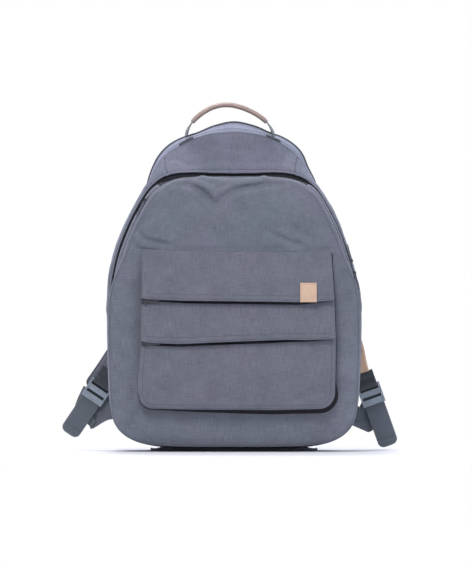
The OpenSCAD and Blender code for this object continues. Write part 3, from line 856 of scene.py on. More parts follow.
def body_skin():
    """Side gussets, base strip and hood as one sewn skin. Returns its grid and v steps."""
    nu, nv = detail((576, 64), (288, 40))
    stations = np.arange(nu) * TURNS / nu
    edge = body_edge(stations)[:, None]
    steps = np.linspace(0, 1, nv)
    steps = np.where(steps < 0.2, steps * 0.9, 0.18 + (steps - 0.2) * 1.025)
    y = BODY_BACK_Y + (edge - BODY_BACK_Y) * steps[None, :]
    u = np.broadcast_to(stations[:, None], y.shape)
    grid = skin(u, y)
    normals = normals_of(grid, True)
    station = fold(u)
    sides = smooth(6, 11, station) * (1 - smooth(15.5, 18, station))
    hood = smooth(16.5, 18.5, station)
    inner = smooth(0, 14, y - edge) * smooth(0, 10, BODY_BACK_Y - y)
    arc = u / TURNS * ROUND_BODY
    x = grid[..., 0]
    out = inner * sides * (
        2.2 * fbm(arc / 60, y / 45, seed=11) + 1.0 * fbm(arc / 22, y / 30, seed=12) + 0.9)
    out += hood * inner * (
        1.1 * fbm(x / 40, y / 26, seed=21) + 0.5 * fbm(x / 16, y / 12, seed=22) + 1.0)
    out += hood * inner * creases(x, y, HOOD_FOLDS)
    # the top seam, the hood's side seams, then puckers and topstitching along the edges
    out += smooth(17.0, 17.3, station) * groove(y, BODY_SEAM_Y, width=1.1, depth=1.1)
    from_seam = (station - hood_seam(y)) * 16.0
    out += (smooth(17.2, 17.6, station) * (y < BODY_SEAM_Y)
            * groove(from_seam, 0, width=1.3, depth=1.0))
    out += 0.22 * np.sin(arc / 1.9) * bell(y - edge, centre=5, width=3.5)
    out += groove(y - edge, 5.2, width=0.9, depth=0.45) + groove(y, 57.5, width=0.9, depth=0.4)
    grid = lean(grid + normals * out[..., None])

    mats = ("canvas", "hood_canvas", "band_canvas_painted_highlight", "tape", "side_canvas_painted_light", "lining")
    index = np.zeros((nu, nv - 1), int)
    station = fold(stations)[:, None]
    mid_y = (y[:, 1:] + y[:, :-1]) / 2
    seam = hood_seam(mid_y)
    # the hood panel takes the bluer canvas copy: painted light from above
    index[(station > 17.0) & (mid_y < BODY_SEAM_Y) & (station >= seam)] = 1
    # the hood's sides take the lit canvas copy: painted light
    index[(station > 16.2) & (station < seam)] = 4
    # the rear band takes the pale canvas copy: painted highlight
    index[(station > 16.2) & (mid_y >= BODY_SEAM_Y)] = 2
    body = shell("body_skin", grid, 2.4, into_side(grid, True), mats, close_u=True,
                 index=index, rim_index=3)
    put(body, "canvas", HOOD, "side_gusset_left", "side_gusset_right", "top_rear_gusset",
        "hood_panel")
    return grid, steps


def sample(grid, iu, iv):
    """Bilinear reading of a grid closed in u, at fractional indices."""
    nu, nv = grid.shape[:2]
    i, j = np.floor(iu).astype(int), np.floor(iv).astype(int)
    fu, fv = (iu - i)[..., None], (iv - j)[..., None]
    i0, i1 = i % nu, (i + 1) % nu
    j0, j1 = np.clip(j, 0, nv - 1), np.clip(j + 1, 0, nv - 1)
    return mix(mix(grid[i0, j0], grid[i1, j0], fu), mix(grid[i0, j1], grid[i1, j1], fu), fv)


def body_stitching(grid, steps):
    normals = normals_of(grid, True)

    def run(u, y):
        iu = u / TURNS * len(grid)
        t = (BODY_BACK_Y - y) / (BODY_BACK_Y - body_edge(u))
        iv = np.interp(t, steps, np.arange(len(steps)))
        points, normal = sample(grid, iu, iv), sample(normals, iu, iv)
        return points, normal * np.where(away(points, normal) < 0, -1, 1)[:, None]

    around = np.arange(0, TURNS, 0.05)
    top = np.arange(17.1, TURNS - 17.1, 0.05)
    runs = [run(around, body_edge(around) + 5.2)]
    runs += [run(top, np.full(len(top), y)) for y in (52.6, 46.4)]
    y = np.linspace(44, -6, 60)
    u = hood_seam(y) + 0.14
    runs += [run(u, y), run(TURNS - u, y)]
    put(stitches("body_stitching", runs), "canvas", HOOD)


body_stitching(*body_skin())


# ---------------------------------------------------------------- zips round the pack
TOOTH_PITCH = 2.1
TOOTH = np.array([  # corners: along the zip, across it, outward
    (-1, -1, -0.6), (1, -1, -0.6), (1, 1, -1), (-1, 1, -1),
    (-1, -1, 0.6), (1, -1, 0.6), (1, 1, 1), (-1, 1, 1)])
TOOTH_FACES = ((0, 3, 2, 1), (4, 5, 6, 7), (0, 1, 5, 4), (1, 2, 6, 5), (2, 3, 7, 6), (3, 0, 4, 7))


def zip_teeth(name, centres, along, across, outward):
    """One small block per centre; across also carries the tooth's half width."""
    half_length, half_height = 0.62, 0.75
    directions = [np.broadcast_to(v, centres.shape)[:, None]
                  for v in (np.array(along) * half_length, across,
                            np.array(outward) * half_height)]
    verts = centres[:, None] + sum(TOOTH[:, k:k + 1] * directions[k] for k in range(3))
    verts = verts.reshape(-1, 3)
    faces = [tuple(base + k for k in face) for base in range(0, len(verts), 8)
             for face in TOOTH_FACES]
    return make_mesh(name, verts, faces, verts[:, [0, 2]], ("coil",), sharp=0)


def top_amount(u):
    return smooth(16.6, 18.3, fold(u))


def skin_strip(stations, depths, insets):
    """Skin grid over stations and depths, sunk further under the hood's edge at the top."""
    u, y = grid_of(stations, depths)
    return lean(skin(u, y, np.asarray(insets) + 3.0 * top_amount(u)))


def zip_half(name, first, centre_y, way, width, motion, replaced):
    """Half a zip, behind (way 1) or ahead (way -1) of its centre: tape and teeth."""
    last = TURNS - first
    stations = np.linspace(first, last, int((last - first) * detail(14, 8)))
    flat = skin_strip(stations, centre_y + way * np.linspace(0.15, width, 7), 2.75)
    tape = shell(name, flat, 0.9, into_side(flat), ("tape", "tape"), round_ends=False)
    fine = np.linspace(first, last, int((last - first) * 40))
    line, raised = (skin_strip(fine, [centre_y + way * 1.6], inset)[:, 0]
                    for inset in (2.3, 1.3))
    s = lengths_along(line)
    count = int(s[-1] / TOOTH_PITCH)
    at = (np.arange(count) + (0.25 if way > 0 else 0.75)) * s[-1] / count
    teeth = zip_teeth(name + "_teeth", at_length(line, s, at),
                      along=unit(at_length(line, s, at + 1) - at_length(line, s, at - 1)),
                      across=(0, 1.5 * way, 0),
                      outward=unit(at_length(raised - line, s, at)))
    put(join(name, [tape, teeth]), "zip_tape", motion, *replaced)


MAIN_ZIP_Y, FRONT_ZIP_Y = -16, -33.5
# name, first station, centre depth, way, tape width, motion, CAD nodes
zip_half("main_zip_rear", 8.0, MAIN_ZIP_Y, 1, 8.5, HOOD, ("main_zip_rear_sides", "hood_zip_half"))
zip_half("main_zip_front", 8.0, MAIN_ZIP_Y, -1, 8.5, "pack", ("main_zip_front_half",))
zip_half("front_zip_rear", 9.0, FRONT_ZIP_Y, 1, 5.0, "pack", ("front_zip_rear_half",))
zip_half("front_zip_front", 9.0, FRONT_ZIP_Y, -1, 5.2, LID,
         ("front_zip_front_sides", "front_zip_front_top"))


def divider_band():
    """The band between the two zips, sunk along the top and painted dark there as shade."""
    nu, nv, back_y = detail(480, 240), 10, -19.6
    stations = np.arange(nu) * TURNS / nu
    front_y = -30 - 8.3 * (1 - smooth(7.9, 8.05, fold(stations)))
    steps = np.linspace(0, 1, nv)
    y = back_y + (front_y[:, None] - back_y) * steps
    u = np.broadcast_to(stations[:, None], y.shape)
    inset = (6.6 * top_amount(u) + 0.3 - 0.9 * np.sin(pi * steps)
             - 0.5 * fbm(u * 1.1, y / 12, seed=41))
    grid = lean(skin(u, y, inset))
    # the top stations take the near-black tape: painted shade under the hood's edge
    dark = np.broadcast_to((fold(stations) > 17.0).astype(int)[:, None], (nu, nv - 1))
    ob = shell("divider_band", grid, 1.8, into_side(grid, True), ("canvas", "tape", "lining"),
               close_u=True, index=dark)
    put(ob, "canvas", "pack", "divider_gusset")


def zip_end_tabs():
    # zip, first and last station, rear and front depth limits
    tabs = (("main", 6.98, 8.06, -19.6, -12.4), ("front", 7.94, 9.1, -38.3, -29.6))
    arch = np.sin(pi * np.linspace(0, 1, 9))
    for side_name, side in SIDES:
        for zip_name, first, last, y_low, y_high in tabs:
            u = np.linspace(first, last, 16)
            grid = skin_strip(u if side > 0 else TURNS - u, np.linspace(y_low, y_high, 9),
                              0.1 - 0.5 * arch)
            ob = shell(f"zip_end_{zip_name}_{side_name}", grid, 1.0, into_side(grid),
                       ("canvas", "canvas"))
            put(ob, "canvas", "pack", "zip_end_tabs")


divider_band()
zip_end_tabs()

# ---------------------------------------------------------------- front panel
PANEL_TOP_Z = 384.8
PANEL_DOME = 22
FRONT_FOLDS = (  # depth, width, (x, z) points
    (5.95, 4.2, [(-81.2, 376.6), (-61.6, 375.2), (-43.4, 364), (-29.4, 348.6), (-22.4, 344.4)]),
    (6.3, 4.6, [(-22.4, 344.4), (-15.4, 357), (-2.8, 365.4), (16.8, 371), (44.8, 375.2),
                (78.4, 379.4)]),
    (2.47, 5.5, [(-39.2, 380.8), (-16.8, 372.4), (16.8, 378)]),
    (3.12, 3.8, [(-141.4, 319.2), (-133, 308), (-126, 298.2), (-106.4, 292.6),
                 (-81.2, 288.4)]),
    (1.95, 4.0, [(-148.4, 296.8), (-137.2, 288.4), (-127.4, 280)]),
    (1.43, 6.0, [(33.6, 348.6), (47.6, 337.4), (70, 326.2)]),
    (2.86, 4.0, [(44.8, 309.4), (63, 301), (81.2, 292.6), (100.8, 288.4)]),
    (2.21, 4.4, [(81.2, 316.4), (98, 305.2), (117.6, 296.8)]),
    (2.08, 4.0, [(79.8, 375.2), (99.4, 365.4), (116.2, 351.4), (130.2, 333.2)]),
    (1.56, 6.0, [(-96.6, 358.4), (-106.4, 341.6), (-117.6, 322)]),
    (2.34, 4.5, [(-162.4, 257.6), (-154, 238), (-144.2, 231)]),
    (1.56, 5.0, [(148.4, 266), (152.6, 212.8), (149.8, 170.8)]),
    (1.43, 6.5, [(-156.8, 212.8), (-154, 156.8), (-148.4, 112)]),
    (1.95, 5.0, [(-142.8, 106.4), (-138.6, 84), (-144.2, 61.6)]),
    (2.86, 5.0, [(-130.2, 60.2), (-135.8, 47.6), (-147, 30.8)]),
    (1.56, 5.5, [(-114.8, 22.4), (-53.2, 16.8), (8.4, 21)]),
    (2.08, 5.0, [(123.2, 44.8), (134.4, 30.8), (140, 16.8)]),
    (1.04, 7.0, [(-89.6, 39.2), (-26.6, 35), (39.2, 37.8)]),
)


def front_skin():
    """The domed front panel. Returns its flat outline grid and its finished grid."""
    flat = ring_grid(lambda u: catmull(FRONT, u), *detail((220, 240), (120, 130)))
    x, z = flat[..., 0], flat[..., 1]
    rim_u = np.arange(0, TURNS, 0.05)
    rim = catmull(FRONT, rim_u)
    from_rim = seg_dist(x, z, np.vstack([rim, rim[:1]]))[0]
    from_top = np.maximum(0, PANEL_TOP_Z - z)
    rise_side = np.clip(from_rim / 26, 0, 1)
    rise = np.minimum(rise_side, np.clip(from_top / 66, 0, 1))
    dome_y = FRONT_Y - PANEL_DOME * quarter(rise)

    # the sides swell past the zip line lower down
    coarse = rim[::8]
    nearest = np.argmin((x[..., None] - coarse[None, None, :, 0]) ** 2
                        + (z[..., None] - coarse[None, None, :, 1]) ** 2, axis=-1)
    rim_in = inward(rim_u[::8][nearest])
    swell = np.sin(pi * np.clip(np.sqrt(rise_side) * 0.93, 0, 1)) * (1 - rise_side * 0.15)
    amount = (9.2 * (1 - smooth(222, 282, z)) + 1.0) * smooth(385, 340, z)
    amount = amount + 6.0 * bell(z, centre=34, width=26) * smooth(100, 145, np.abs(x))
    panel_x = x - rim_in[..., 0] * swell * amount
    panel_z = z - rim_in[..., 1] * swell * amount * 0.95

    # the upper edge rises and falls between its stitches
    lip = (3.2 * bell(x, centre=-45, width=8) + 3.0 * bell(x, centre=43, width=7)
           - 1.2 * bell(x, centre=-96, width=10) - 0.4 * np.cos(x / 9))
    panel_z += lip * np.exp(-from_top / 10) * smooth(110, 95, np.abs(x))

    fade = smooth(0, 16, from_rim)
    out = fade * (1.5 * fbm(x / 75, z / 62, seed=51) + 0.75 * fbm(x / 30, z / 24, 52, octaves=3)
                  + 0.22 * fbm(x / 9, z / 8, 53, octaves=2))
    out += fade * creases(x, z, FRONT_FOLDS)
    # a slack facet between the two upper folds
    out += fade * -1.6 * bell(x, centre=-20, width=17) * bell(z, centre=352, width=10)
    # the pocket's seam pulls the cloth in
    out += groove(z, 284.5, width=3.0, depth=1.0) * (np.abs(x - 4) < 140)
    # topstitched edge along the zip
    out += groove(from_rim, 5.5, width=0.9, depth=0.45) * (1 - smooth(348, 366, z))
    grid = np.stack([panel_x, dome_y - out * smooth(0, 8, from_rim), panel_z], -1)
    ob = shell("front_skin", grid, 2.0, positive_side(grid), ("canvas", "lining"))
    put(ob, "canvas", LID, "front_panel_lower", "front_panel_upper")
    return flat, grid


def front_stitching(flat, grid):
    """A row set in from the rim, open across the top."""
    u = np.arange(0, TURNS, 0.04)
    ring = catmull(FRONT, u) + inward(u) * 6.6
    nearest = np.argmin((flat[..., 0].reshape(-1, 1) - ring[None, :, 0]) ** 2
                        + (flat[..., 1].reshape(-1, 1) - ring[None, :, 1]) ** 2, axis=0)
    path = grid.reshape(-1, 3)[nearest]
    normals = normals_of(grid).reshape(-1, 3)[nearest]
    window = np.ones(9) / 9
    wrapped = np.concatenate([path[-4:], path, path[:4]])
    path = np.stack([np.convolve(wrapped[:, k], window, "valid") for k in range(3)], 1)
    low = np.nonzero(ring[:, 1] < 364)[0]
    low = np.roll(low, -(int(np.argmax(np.diff(low))) + 1))
    ob = stitches("front_stitching", [(path[low], normals[low])], lift=0.25)
    put(ob, "canvas", LID)


front_stitching(*front_skin())


# ---------------------------------------------------------------- front pocket
def slope(top_z, top_y, low_z, low_y):
    """Depth as a straight function of height."""
    return lambda z: top_y + (top_z - z) / (top_z - low_z) * (low_y - top_y)


# side edges: (z, x) points
pocket_left = profile((58, -129), (66, -132), (80, -134), (100, -134), (125, -132),
                      (150, -130), (216, -129), (262, -129.3), (284, -130))
pocket_right = profile((58, 140), (90, 141.5), (120, 142.3), (157, 142.5), (214, 140.5),
                       (262, 137.6), (284, 136.5))
# cross edges: (x, z) points
pocket_top = profile((-131, 283.6), (-92, 281.8), (-50, 280.2), (-9, 279.5), (84, 279.6),
                     (119, 281.4), (138, 282.6))
upper_hem = profile((-130, 216.2), (-118, 214.8), (-105, 214.2), (-70, 212.8), (-31, 212.4),
                    (50, 211.4), (91, 210.8), (118, 211.6), (141, 213.6))
lower_hem = profile((-132, 156.6), (-122, 154.6), (-109, 153.4), (-76, 152.2), (-31, 154.2),
                    (0, 155.6), (36, 156.8), (71, 158.3), (103, 157.7), (143, 159.2))
pocket_bottom = profile((-112, 60.8), (-60, 59.6), (0, 59.2), (60, 58.8), (119, 60.5))
# gaps between a hem and the panel below it: (x, gap) points
upper_gap = profile((-130, 3.4), (-60, 5.2), (90, 5.2), (118, 2.6), (141, 1.0))
lower_gap = profile((-132, 2.0), (-110, 5.0), (60, 5.6), (100, 3.6), (143, 1.2))
upper_y = slope(282, -63.2, 214.5, -82)
middle_y = slope(206.5, -75.6, 156, -82)
lower_y = slope(148, -75.6, 62, -78)

POCKET_MATS = ("pocket_canvas", "lining")
POCKET_THICK = 1.8
# depth, width, (x, z) points
UPPER_FOLDS = (
    (0.9, 5, [(-117.6, 266), (-95.2, 257.6), (-75.6, 260.4)]),
    (0.8, 6, [(-53.2, 257.6), (-28, 246.4), (-2.8, 249.2)]),
    (0.9, 5, [(92.4, 266), (114.8, 254.8), (131.6, 257.6)]),
    (0.7, 4, [(-123.2, 232.4), (-109.2, 240.8), (-89.6, 235.2)]),
)
MIDDLE_FOLDS = (
    (0.8, 6, [(-117.6, 196), (-92.4, 182), (-61.6, 179.2)]),
    (0.6, 6, [(8.4, 187.6), (39.2, 179.2), (64.4, 184.8)]),
)
LOWER_FOLDS = (
    (1.0, 7, [(-117.6, 140), (-89.6, 123.2), (-53.2, 120.4)]),
    (1.3, 6, [(-126, 78.4), (-109.2, 89.6), (-81.2, 84)]),
    (0.9, 6, [(92.4, 134.4), (117.6, 120.4), (134.4, 123.2)]),
    (1.2, 6, [(81.2, 67.2), (103.6, 78.4), (128.8, 95.2)]),
    (0.8, 8, [(-47.6, 75.6), (8.4, 70), (64.4, 75.6)]),
    (0.7, 7, [(-89.6, 103.6), (-53.2, 89.6), (-28, 95.2)]),
)


def pocket_panel(name, top, hem, depth, seed, puff, folds, motion, replaced):
    """A panel between the side edges with a folded, twice-stitched hem."""
    n, m = detail((220, 70), (120, 36))
    left, right = pocket_left(220), pocket_right(220)
    # columns crowd toward the turned side edges
    swing = np.cos(pi * np.linspace(0, 1, n))
    columns = 0.5 - 0.5 * swing * (0.35 + 0.65 * np.abs(swing))
    c, t = grid_of(columns, np.linspace(0, 1, m))
    x = left + (right - left) * c
    z = mix(top(x), hem(x), t)
    x_limits = pocket_left(z), pocket_right(z)
    x = mix(*x_limits, c)
    z = mix(top(x), hem(x), t)
    from_side = edge_gap(x, x_limits)
    inner = smooth(0, 12, from_side) * smooth(0, 0.12, t)
    arch = np.clip((x - x_limits[0]) / (x_limits[1] - x_limits[0]), 0, 1)
    bow = puff * np.sin(pi * arch) ** 0.5 * np.sin(pi * np.clip(t * 0.75, 0, 1))
    out = inner * (0.55 * fbm(x / 55, z / 40, seed) + 0.28 * fbm(x / 18, z / 15, seed + 3, 3))
    out += bow * smooth(0, 25, from_side)
    # a folded hem, its stitch line, and the slight ripple the stitching leaves
    height = z - hem(x)
    out += 0.7 * smooth(9.5, 7.5, height) * smooth(0, 4, from_side)
    out += groove(height, 7.6, width=0.7, depth=0.35)
    out += 0.16 * np.sin(x / 2.1) * bell(height, centre=8, width=3)
    out += groove(from_side, 5.4, width=0.7, depth=0.25)
    out += inner * creases(x, z, folds)
    grid = np.stack([x, depth(z) + turned(from_side, 4.0) - out, z], -1)
    ob = shell(name, grid, POCKET_THICK, positive_side(grid), POCKET_MATS)
    put(ob, "canvas", motion, *replaced)

    row_x = np.linspace(left + 6, right - 6, 160)
    runs = [(on_surface(grid, row_x, hem(row_x) + rise), FORWARD) for rise in (7.6, 1.6)]
    put(stitches(name + "_stitching", runs, lift=0.2), "canvas", motion)


pocket_panel("pocket_upper", pocket_top, upper_hem, upper_y, seed=61, puff=1.2,
             folds=UPPER_FOLDS, motion=UPPER_FLAP,
             replaced=("pocket_upper_panel", "pocket_upper_flap"))
pocket_panel("pocket_middle", lambda x: upper_hem(x) - upper_gap(x), lower_hem, middle_y,
             seed=71, puff=1.0, folds=MIDDLE_FOLDS, motion=LOWER_FLAP,
             replaced=("pocket_middle_panel", "pocket_lower_flap"))


def lower_outline():
    """Closed outline with rounded lower corners: top, right, corner, bottom, corner, left."""
    top_x = np.linspace(-130.3, 142.5, 60)
    top_z = lower_hem(top_x) - lower_gap(top_x)
    right_z = np.linspace(top_z[-1], 88, 24)[1:]
    right_turn = np.linspace(0, pi / 2, 14)[1:]
    bottom_x = np.linspace(118, -112, 46)[1:]
    left_turn = np.linspace(0, pi / 2, 12)[1:]
    left_z = np.linspace(79, top_z[0], 26)[1:]
    parts = ((top_x, top_z), (pocket_right(right_z), right_z),
             (119.5 + 22 * np.cos(right_turn), 84.5 - 24 * np.sin(right_turn)),
             (bottom_x, pocket_bottom(bottom_x)),
             (-112 - 20.5 * np.sin(left_turn), 77 - 16.4 * np.cos(left_turn)),
             (pocket_left(left_z), left_z))
    return [np.stack(part, 1) for part in parts]


def pocket_lower(outline):
    top, right, right_corner, bottom, left_corner, left = outline
    n, m = detail((220, 110), (120, 60))
    half = len(right_corner) // 2
    top_edge = resample(top, n)
    right_edge = resample(np.vstack([top[-1:], right, right_corner[:half]]), m)
    bottom_edge = np.vstack([right_corner[half - 1:], bottom, left_corner[:6]])
    bottom_edge = resample(bottom_edge[::-1], n)
    left_edge = resample(np.vstack([left_corner[5:], left])[::-1], m)
    left_edge[0], right_edge[0] = top_edge[0], top_edge[-1]
    left_edge[-1], right_edge[-1] = bottom_edge[0], bottom_edge[-1]
    flat = coons(top_edge, bottom_edge, left_edge, right_edge)
    x, z = flat[..., 0], flat[..., 1]
    around = np.vstack([right, right_corner, bottom, left_corner, left])
    from_edge = seg_dist(x, z, np.vstack([top[-1:], around]))[0]
    out = smooth(0, 12, from_edge) * (
        0.7 * fbm(x / 60, z / 45, seed=81) + 0.3 * fbm(x / 20, z / 16, seed=82, octaves=3))
    out += 2.6 * smooth(0, 45, from_edge) * smooth(0, 30, np.abs(z - 153))
    out += smooth(0, 14, from_edge) * creases(x, z, LOWER_FOLDS)
    out += groove(from_edge, 5.6, width=0.7, depth=0.25)
    grid = np.stack([x, lower_y(z) + turned(from_edge, 5.0) - out, z], -1)
    ob = shell("pocket_lower", grid, POCKET_THICK, positive_side(grid), POCKET_MATS)
    put(ob, "canvas", "pack", "pocket_lower_panel")

    row = offset_path(resample(around, 400), 5.8, centre=(5, 112))
    runs = [(on_surface(grid, row[:, 0], row[:, 1]), FORWARD)]
    put(stitches("pocket_lower_stitching", runs, lift=0.15), "canvas", "pack")


def pocket_gusset(outline):
    """The pocket's side wall, from the front panel to the panels' turned edges."""
    centre, back_y = (5, 150), -57.5
    right_z, left_z = np.linspace(279, 90, 90), np.linspace(80, 279, 90)
    wall = np.vstack([np.stack([pocket_right(right_z), right_z], 1), *outline[2:5],
                      np.stack([pocket_left(left_z), left_z], 1)])
    wall = resample(offset_path(wall, 1.7, centre), detail(420, 220))
    x, z = wall[:, 0], wall[:, 1]
    front_y = np.interp(z, [58, 150, 200, 226, 277, 282],
                        [-74.5, -73.4, -73.0, -72.6, -61.6, -60.6])
    k = np.linspace(0, 1, 9)
    # the wall spreads toward the front panel, most of all low on the right, so its near-black cloth
    # shows as a line of painted shade round the pocket
    low = 6.2 * smooth(104, 66, z) * mix(0.30, 1.0, smooth(-136, 10, x))
    flare = 1.4 + 1.4 * smooth(-20, 60, x) + low
    flare += 1.8 * bell(z, centre=276, width=9) * (x > 0)
    spread = flare[:, None] * (1 - k) + 0.8 * np.sin(pi * k)
    out = offset_path(wall, -1, centre) - wall
    y = back_y + (np.minimum(front_y, -59.4) - back_y)[:, None] * k
    grid = np.stack([x[:, None] + out[:, None, 0] * spread, y,
                     z[:, None] + out[:, None, 1] * spread], -1)
    # near-black wall: painted shade under and beside the pocket
    ob = shell("pocket_gusset_cloth", grid, 1.6, 1, ("gusset_painted_shade", "gusset_painted_shade"),
               round_ends=False)
    put(ob, "canvas", "pack", "pocket_gusset")


def flat_zip(name, centre_z, replaced):
    """A zip across the pocket: two tapes, each with its teeth."""
    parts = []
    for way in (1, -1):
        x, z = grid_of(np.linspace(-128.6, 139, 120),
                       centre_z + way * np.linspace(0.15, 7.0, 6))
        grid = np.stack([x, -73.1 + 0.15 * fbm(x / 14, z / 5, seed=91), z], -1)
        parts.append(shell(f"{name}{way}", grid, 0.9, positive_side(grid), ("tape", "tape"),
                           round_ends=False))
        x = np.arange(-126, 136, TOOTH_PITCH) + 0.5 * way
        centres = np.stack([x, np.full(len(x), -73.9), np.full(len(x), centre_z + 1.55 * way)], 1)
        parts.append(zip_teeth(f"{name}_teeth{way}", centres, along=(1, 0, 0),
                               across=(0, 0, 1.45 * way), outward=FORWARD))
    put(join(name, parts), "zip_tape", "pack", replaced)


def leather_label():
    """A small label lying on the flap and overhanging its hem."""
    x_range, z_range = (92.6, 115.6), (210.0, 236.8)
    x, z = rounded_rect((40, 44), x_range, z_range, radius=1.8)
    from_edge = np.minimum(edge_gap(x, x_range), edge_gap(z, z_range))
    y = upper_y(z) - 2.9 + 0.5 * turned(from_edge, 1.2)
    y += 0.35 * bell(from_edge, centre=2.2, width=0.5) - 0.1 * fbm(x / 6, z / 6, seed=95)
    y -= 0.35 * smooth(215, 210, z)
    grid = np.stack([x, y, z], -1)
    ob = shell("label", grid, 1.5, positive_side(grid), ("leather", "leather"))
    put(ob, "leather", "upper_flap", "leather_label")

    margin, low_margin = 2.2, 5
    left, right = x_range[0] + margin, x_range[1] - margin
    low, high = z_range[0] + low_margin, z_range[1] - margin
    row = resample([(left, high), (right, high), (right, low), (left, low), (left, high)], 120)
    points = np.stack([row[:, 0], upper_y(row[:, 1]) - 2.6, row[:, 1]], 1)
    ob = stitches("label_stitching", [(points, FORWARD)], mat="thread_tan", pitch=2.0,
                  length=1.4, radius=0.2, lift=0.1)
    put(ob, "leather", "upper_flap")


LOWER_OUTLINE = lower_outline()
pocket_lower(LOWER_OUTLINE)
pocket_gusset(LOWER_OUTLINE)
flat_zip("pocket_zip_upper", 210.5, "pocket_upper_zip")
flat_zip("pocket_zip_lower", 152.0, "pocket_lower_zip")
leather_label()


# ---------------------------------------------------------------- shoulder pads
def inflate(ob, pin):
    """Puffs a closed mesh with a short pressure simulation; points with pin 1 stay put."""
    if not FINE:
        return
    frames, limit = 16, 1.6 * MM  # limit caps the movement
    mesh = ob.data
    rest = get_coords(mesh)
    modifier = ob.modifiers.new("pressure", "CLOTH")
    cloth = modifier.settings
    cloth.quality = 5
    cloth.mass = 0.25
    cloth.tension_stiffness = cloth.compression_stiffness = 12.0
    cloth.shear_stiffness = 5
    cloth.bending_stiffness = 0.6
    cloth.use_pressure = True
    cloth.uniform_pressure_force = 3.0
    cloth.effector_weights.gravity = 0.0
    group = ob.vertex_groups.new(name="seam")
    for i in np.nonzero(pin > 0.02)[0]:
        group.add([int(i)], float(pin[i]), "REPLACE")
    cloth.vertex_group_mass = "seam"
    modifier.point_cache.frame_start, modifier.point_cache.frame_end = 1, frames
    for number in range(1, frames + 1):
        scene.frame_set(number)
    evaluated = ob.evaluated_get(bpy.context.evaluated_depsgraph_get())
    move = np.nan_to_num(get_coords(evaluated.data) - rest)
    length = np.linalg.norm(move, axis=1, keepdims=True)
    capped = limit * np.tanh(length / limit) / np.maximum(length, 1e-9)
    move = move * np.where(length > 1e-9, capped, 0)
    ob.modifiers.remove(modifier)
    scene.frame_set(1)
    set_coords(mesh, rest + move)


def cushion(name, path, half_width, mid_y, half_thick, quilt, seed):
    """A padded strap along a front-view path, with bound edges and stitch rows."""
    sides = left_normals(np.gradient(path, axis=0))
    angle = np.linspace(0, 2 * pi, 44, endpoint=False)
    a, b = signed_power(np.cos(angle), 0.62), signed_power(np.sin(angle), 0.72)
    s = lengths_along(path)
    end = quarter(np.minimum(s, s[-1] - s) / 7.0)
    width = half_width * (0.80 + 0.20 * end)
    thick = half_thick * (0.30 + 0.70 * end)
    verts = np.stack([path[:, None, 0] + sides[:, None, 0] * width[:, None] * a,
                      mid_y[:, None] + thick[:, None] * b,
                      path[:, None, 1] + sides[:, None, 1] * width[:, None] * a], -1)
    across = a * half_width[:, None]
    uvs = np.stack([across, np.broadcast_to(s[:, None], across.shape)], -1)
    ob = sweep(name, verts, uvs, "canvas", sharp=70)
    pin = np.broadcast_to((np.abs(a) > 0.93).astype(float), across.shape).copy()
    pin[:2] = pin[-2:] = 1
    inflate(ob, pin.ravel())

    coords = get_coords(ob.data).reshape(verts.shape) / MM
    from_edge = half_width[:, None] - np.abs(across)
    along = s[:, None]
    relief = (0.5 * fbm(along / 30, across / 22, seed)
              + 0.22 * fbm(along / 9, across / 9, seed + 1, octaves=2))
    relief = relief * smooth(2, 10, from_edge) + groove(from_edge, 6.5, width=1.1, depth=0.8)
    for seam in quilt:
        relief = relief + groove(along, seam, width=1.6, depth=1.4) * smooth(3, 9, from_edge)
    coords[..., 1] += np.sign(b) * relief
    set_coords(ob.data, coords * MM)

    parts = [ob]
    for side in (1, -1):
        edge = path + sides * (width - 0.6)[:, None] * side
        rolled = np.stack([edge[:, 0], mid_y, edge[:, 1]], 1)
        parts.append(tube(f"{name}_binding{side}", rolled, radius=2.0))
    ob = join(name, parts)
    runs = []
    for side in (1, -1):
        for face in (1, -1):
            j = int(np.argmin(np.abs(a - side * 0.80) + (np.sign(b) != face) * 10))
            runs.append((coords[:, j], (0.0, face, 0.0)))
    return ob, stitches(name + "_stitching", runs, lift=0.15)


def strap_line(rows, count):
    """Smoothed centre line and half widths from (x, z, half width) rows."""
    line = smooth_path(rows, count)
    return line[:, :2], line[:, 2]


# (x, z, half width) from the top down
PAD_RIGHT = [[66, 405, 25], [74, 390, 28], [82, 370, 30], [95, 330, 32], [108, 290, 32],
             [121, 250, 31], [134, 215, 30], [147, 185, 27], [156, 161.5, 23]]
PAD_LEFT = [[-66, 405, 25], [-74, 390, 28], [-82, 370, 30], [-95, 330, 32], [-107, 290, 32],
            [-117, 250, 31], [-126, 210, 29], [-135, 175, 28], [-147, 143, 27.5],
            [-163, 118, 26.5], [-181, 96, 24], [-197, 80.5, 20.5]]


def shoulder_pad(side_name, rows, count, seed):
    path, half_width = strap_line(rows, count)
    s = lengths_along(path)
    end = s[-1]
    mid_y = 77.9 - 3.4 * (1 - smooth(0, 40, s))
    half_thick = 5.1 - 1.6 * (1 - smooth(0, 36, s)) - 1.6 * smooth(end - 60, end, s)
    pad, stitching = cushion("shoulder_pad_cloth_" + side_name, path, half_width, mid_y,
                             half_thick, quilt=(end * 0.30, end * 0.62), seed=seed)
    put(pad, "canvas", "strap_" + side_name, "shoulder_pad_" + side_name)
    put(stitching, "canvas", "strap_" + side_name)


shoulder_pad("right", PAD_RIGHT, count=96, seed=106)
shoulder_pad("left", PAD_LEFT, count=118, seed=105)

# ---------------------------------------------------------------- webbing through the buckles
# buckle centre x, y, z and its tilt in degrees
LOCKS = {"right": (195, 76, 78, 19.5), "left": (-195, 67.8, 82, -34)}


def lock_frame(side_name):
    """A buckle's centre and its turning matrix."""
    *centre, tilt = LOCKS[side_name]
    cos, sin = math.cos(math.radians(-tilt)), math.sin(math.radians(-tilt))
    return np.array(centre, float), np.array([[cos, 0, sin], [0, 1, 0], [-sin, 0, cos]])


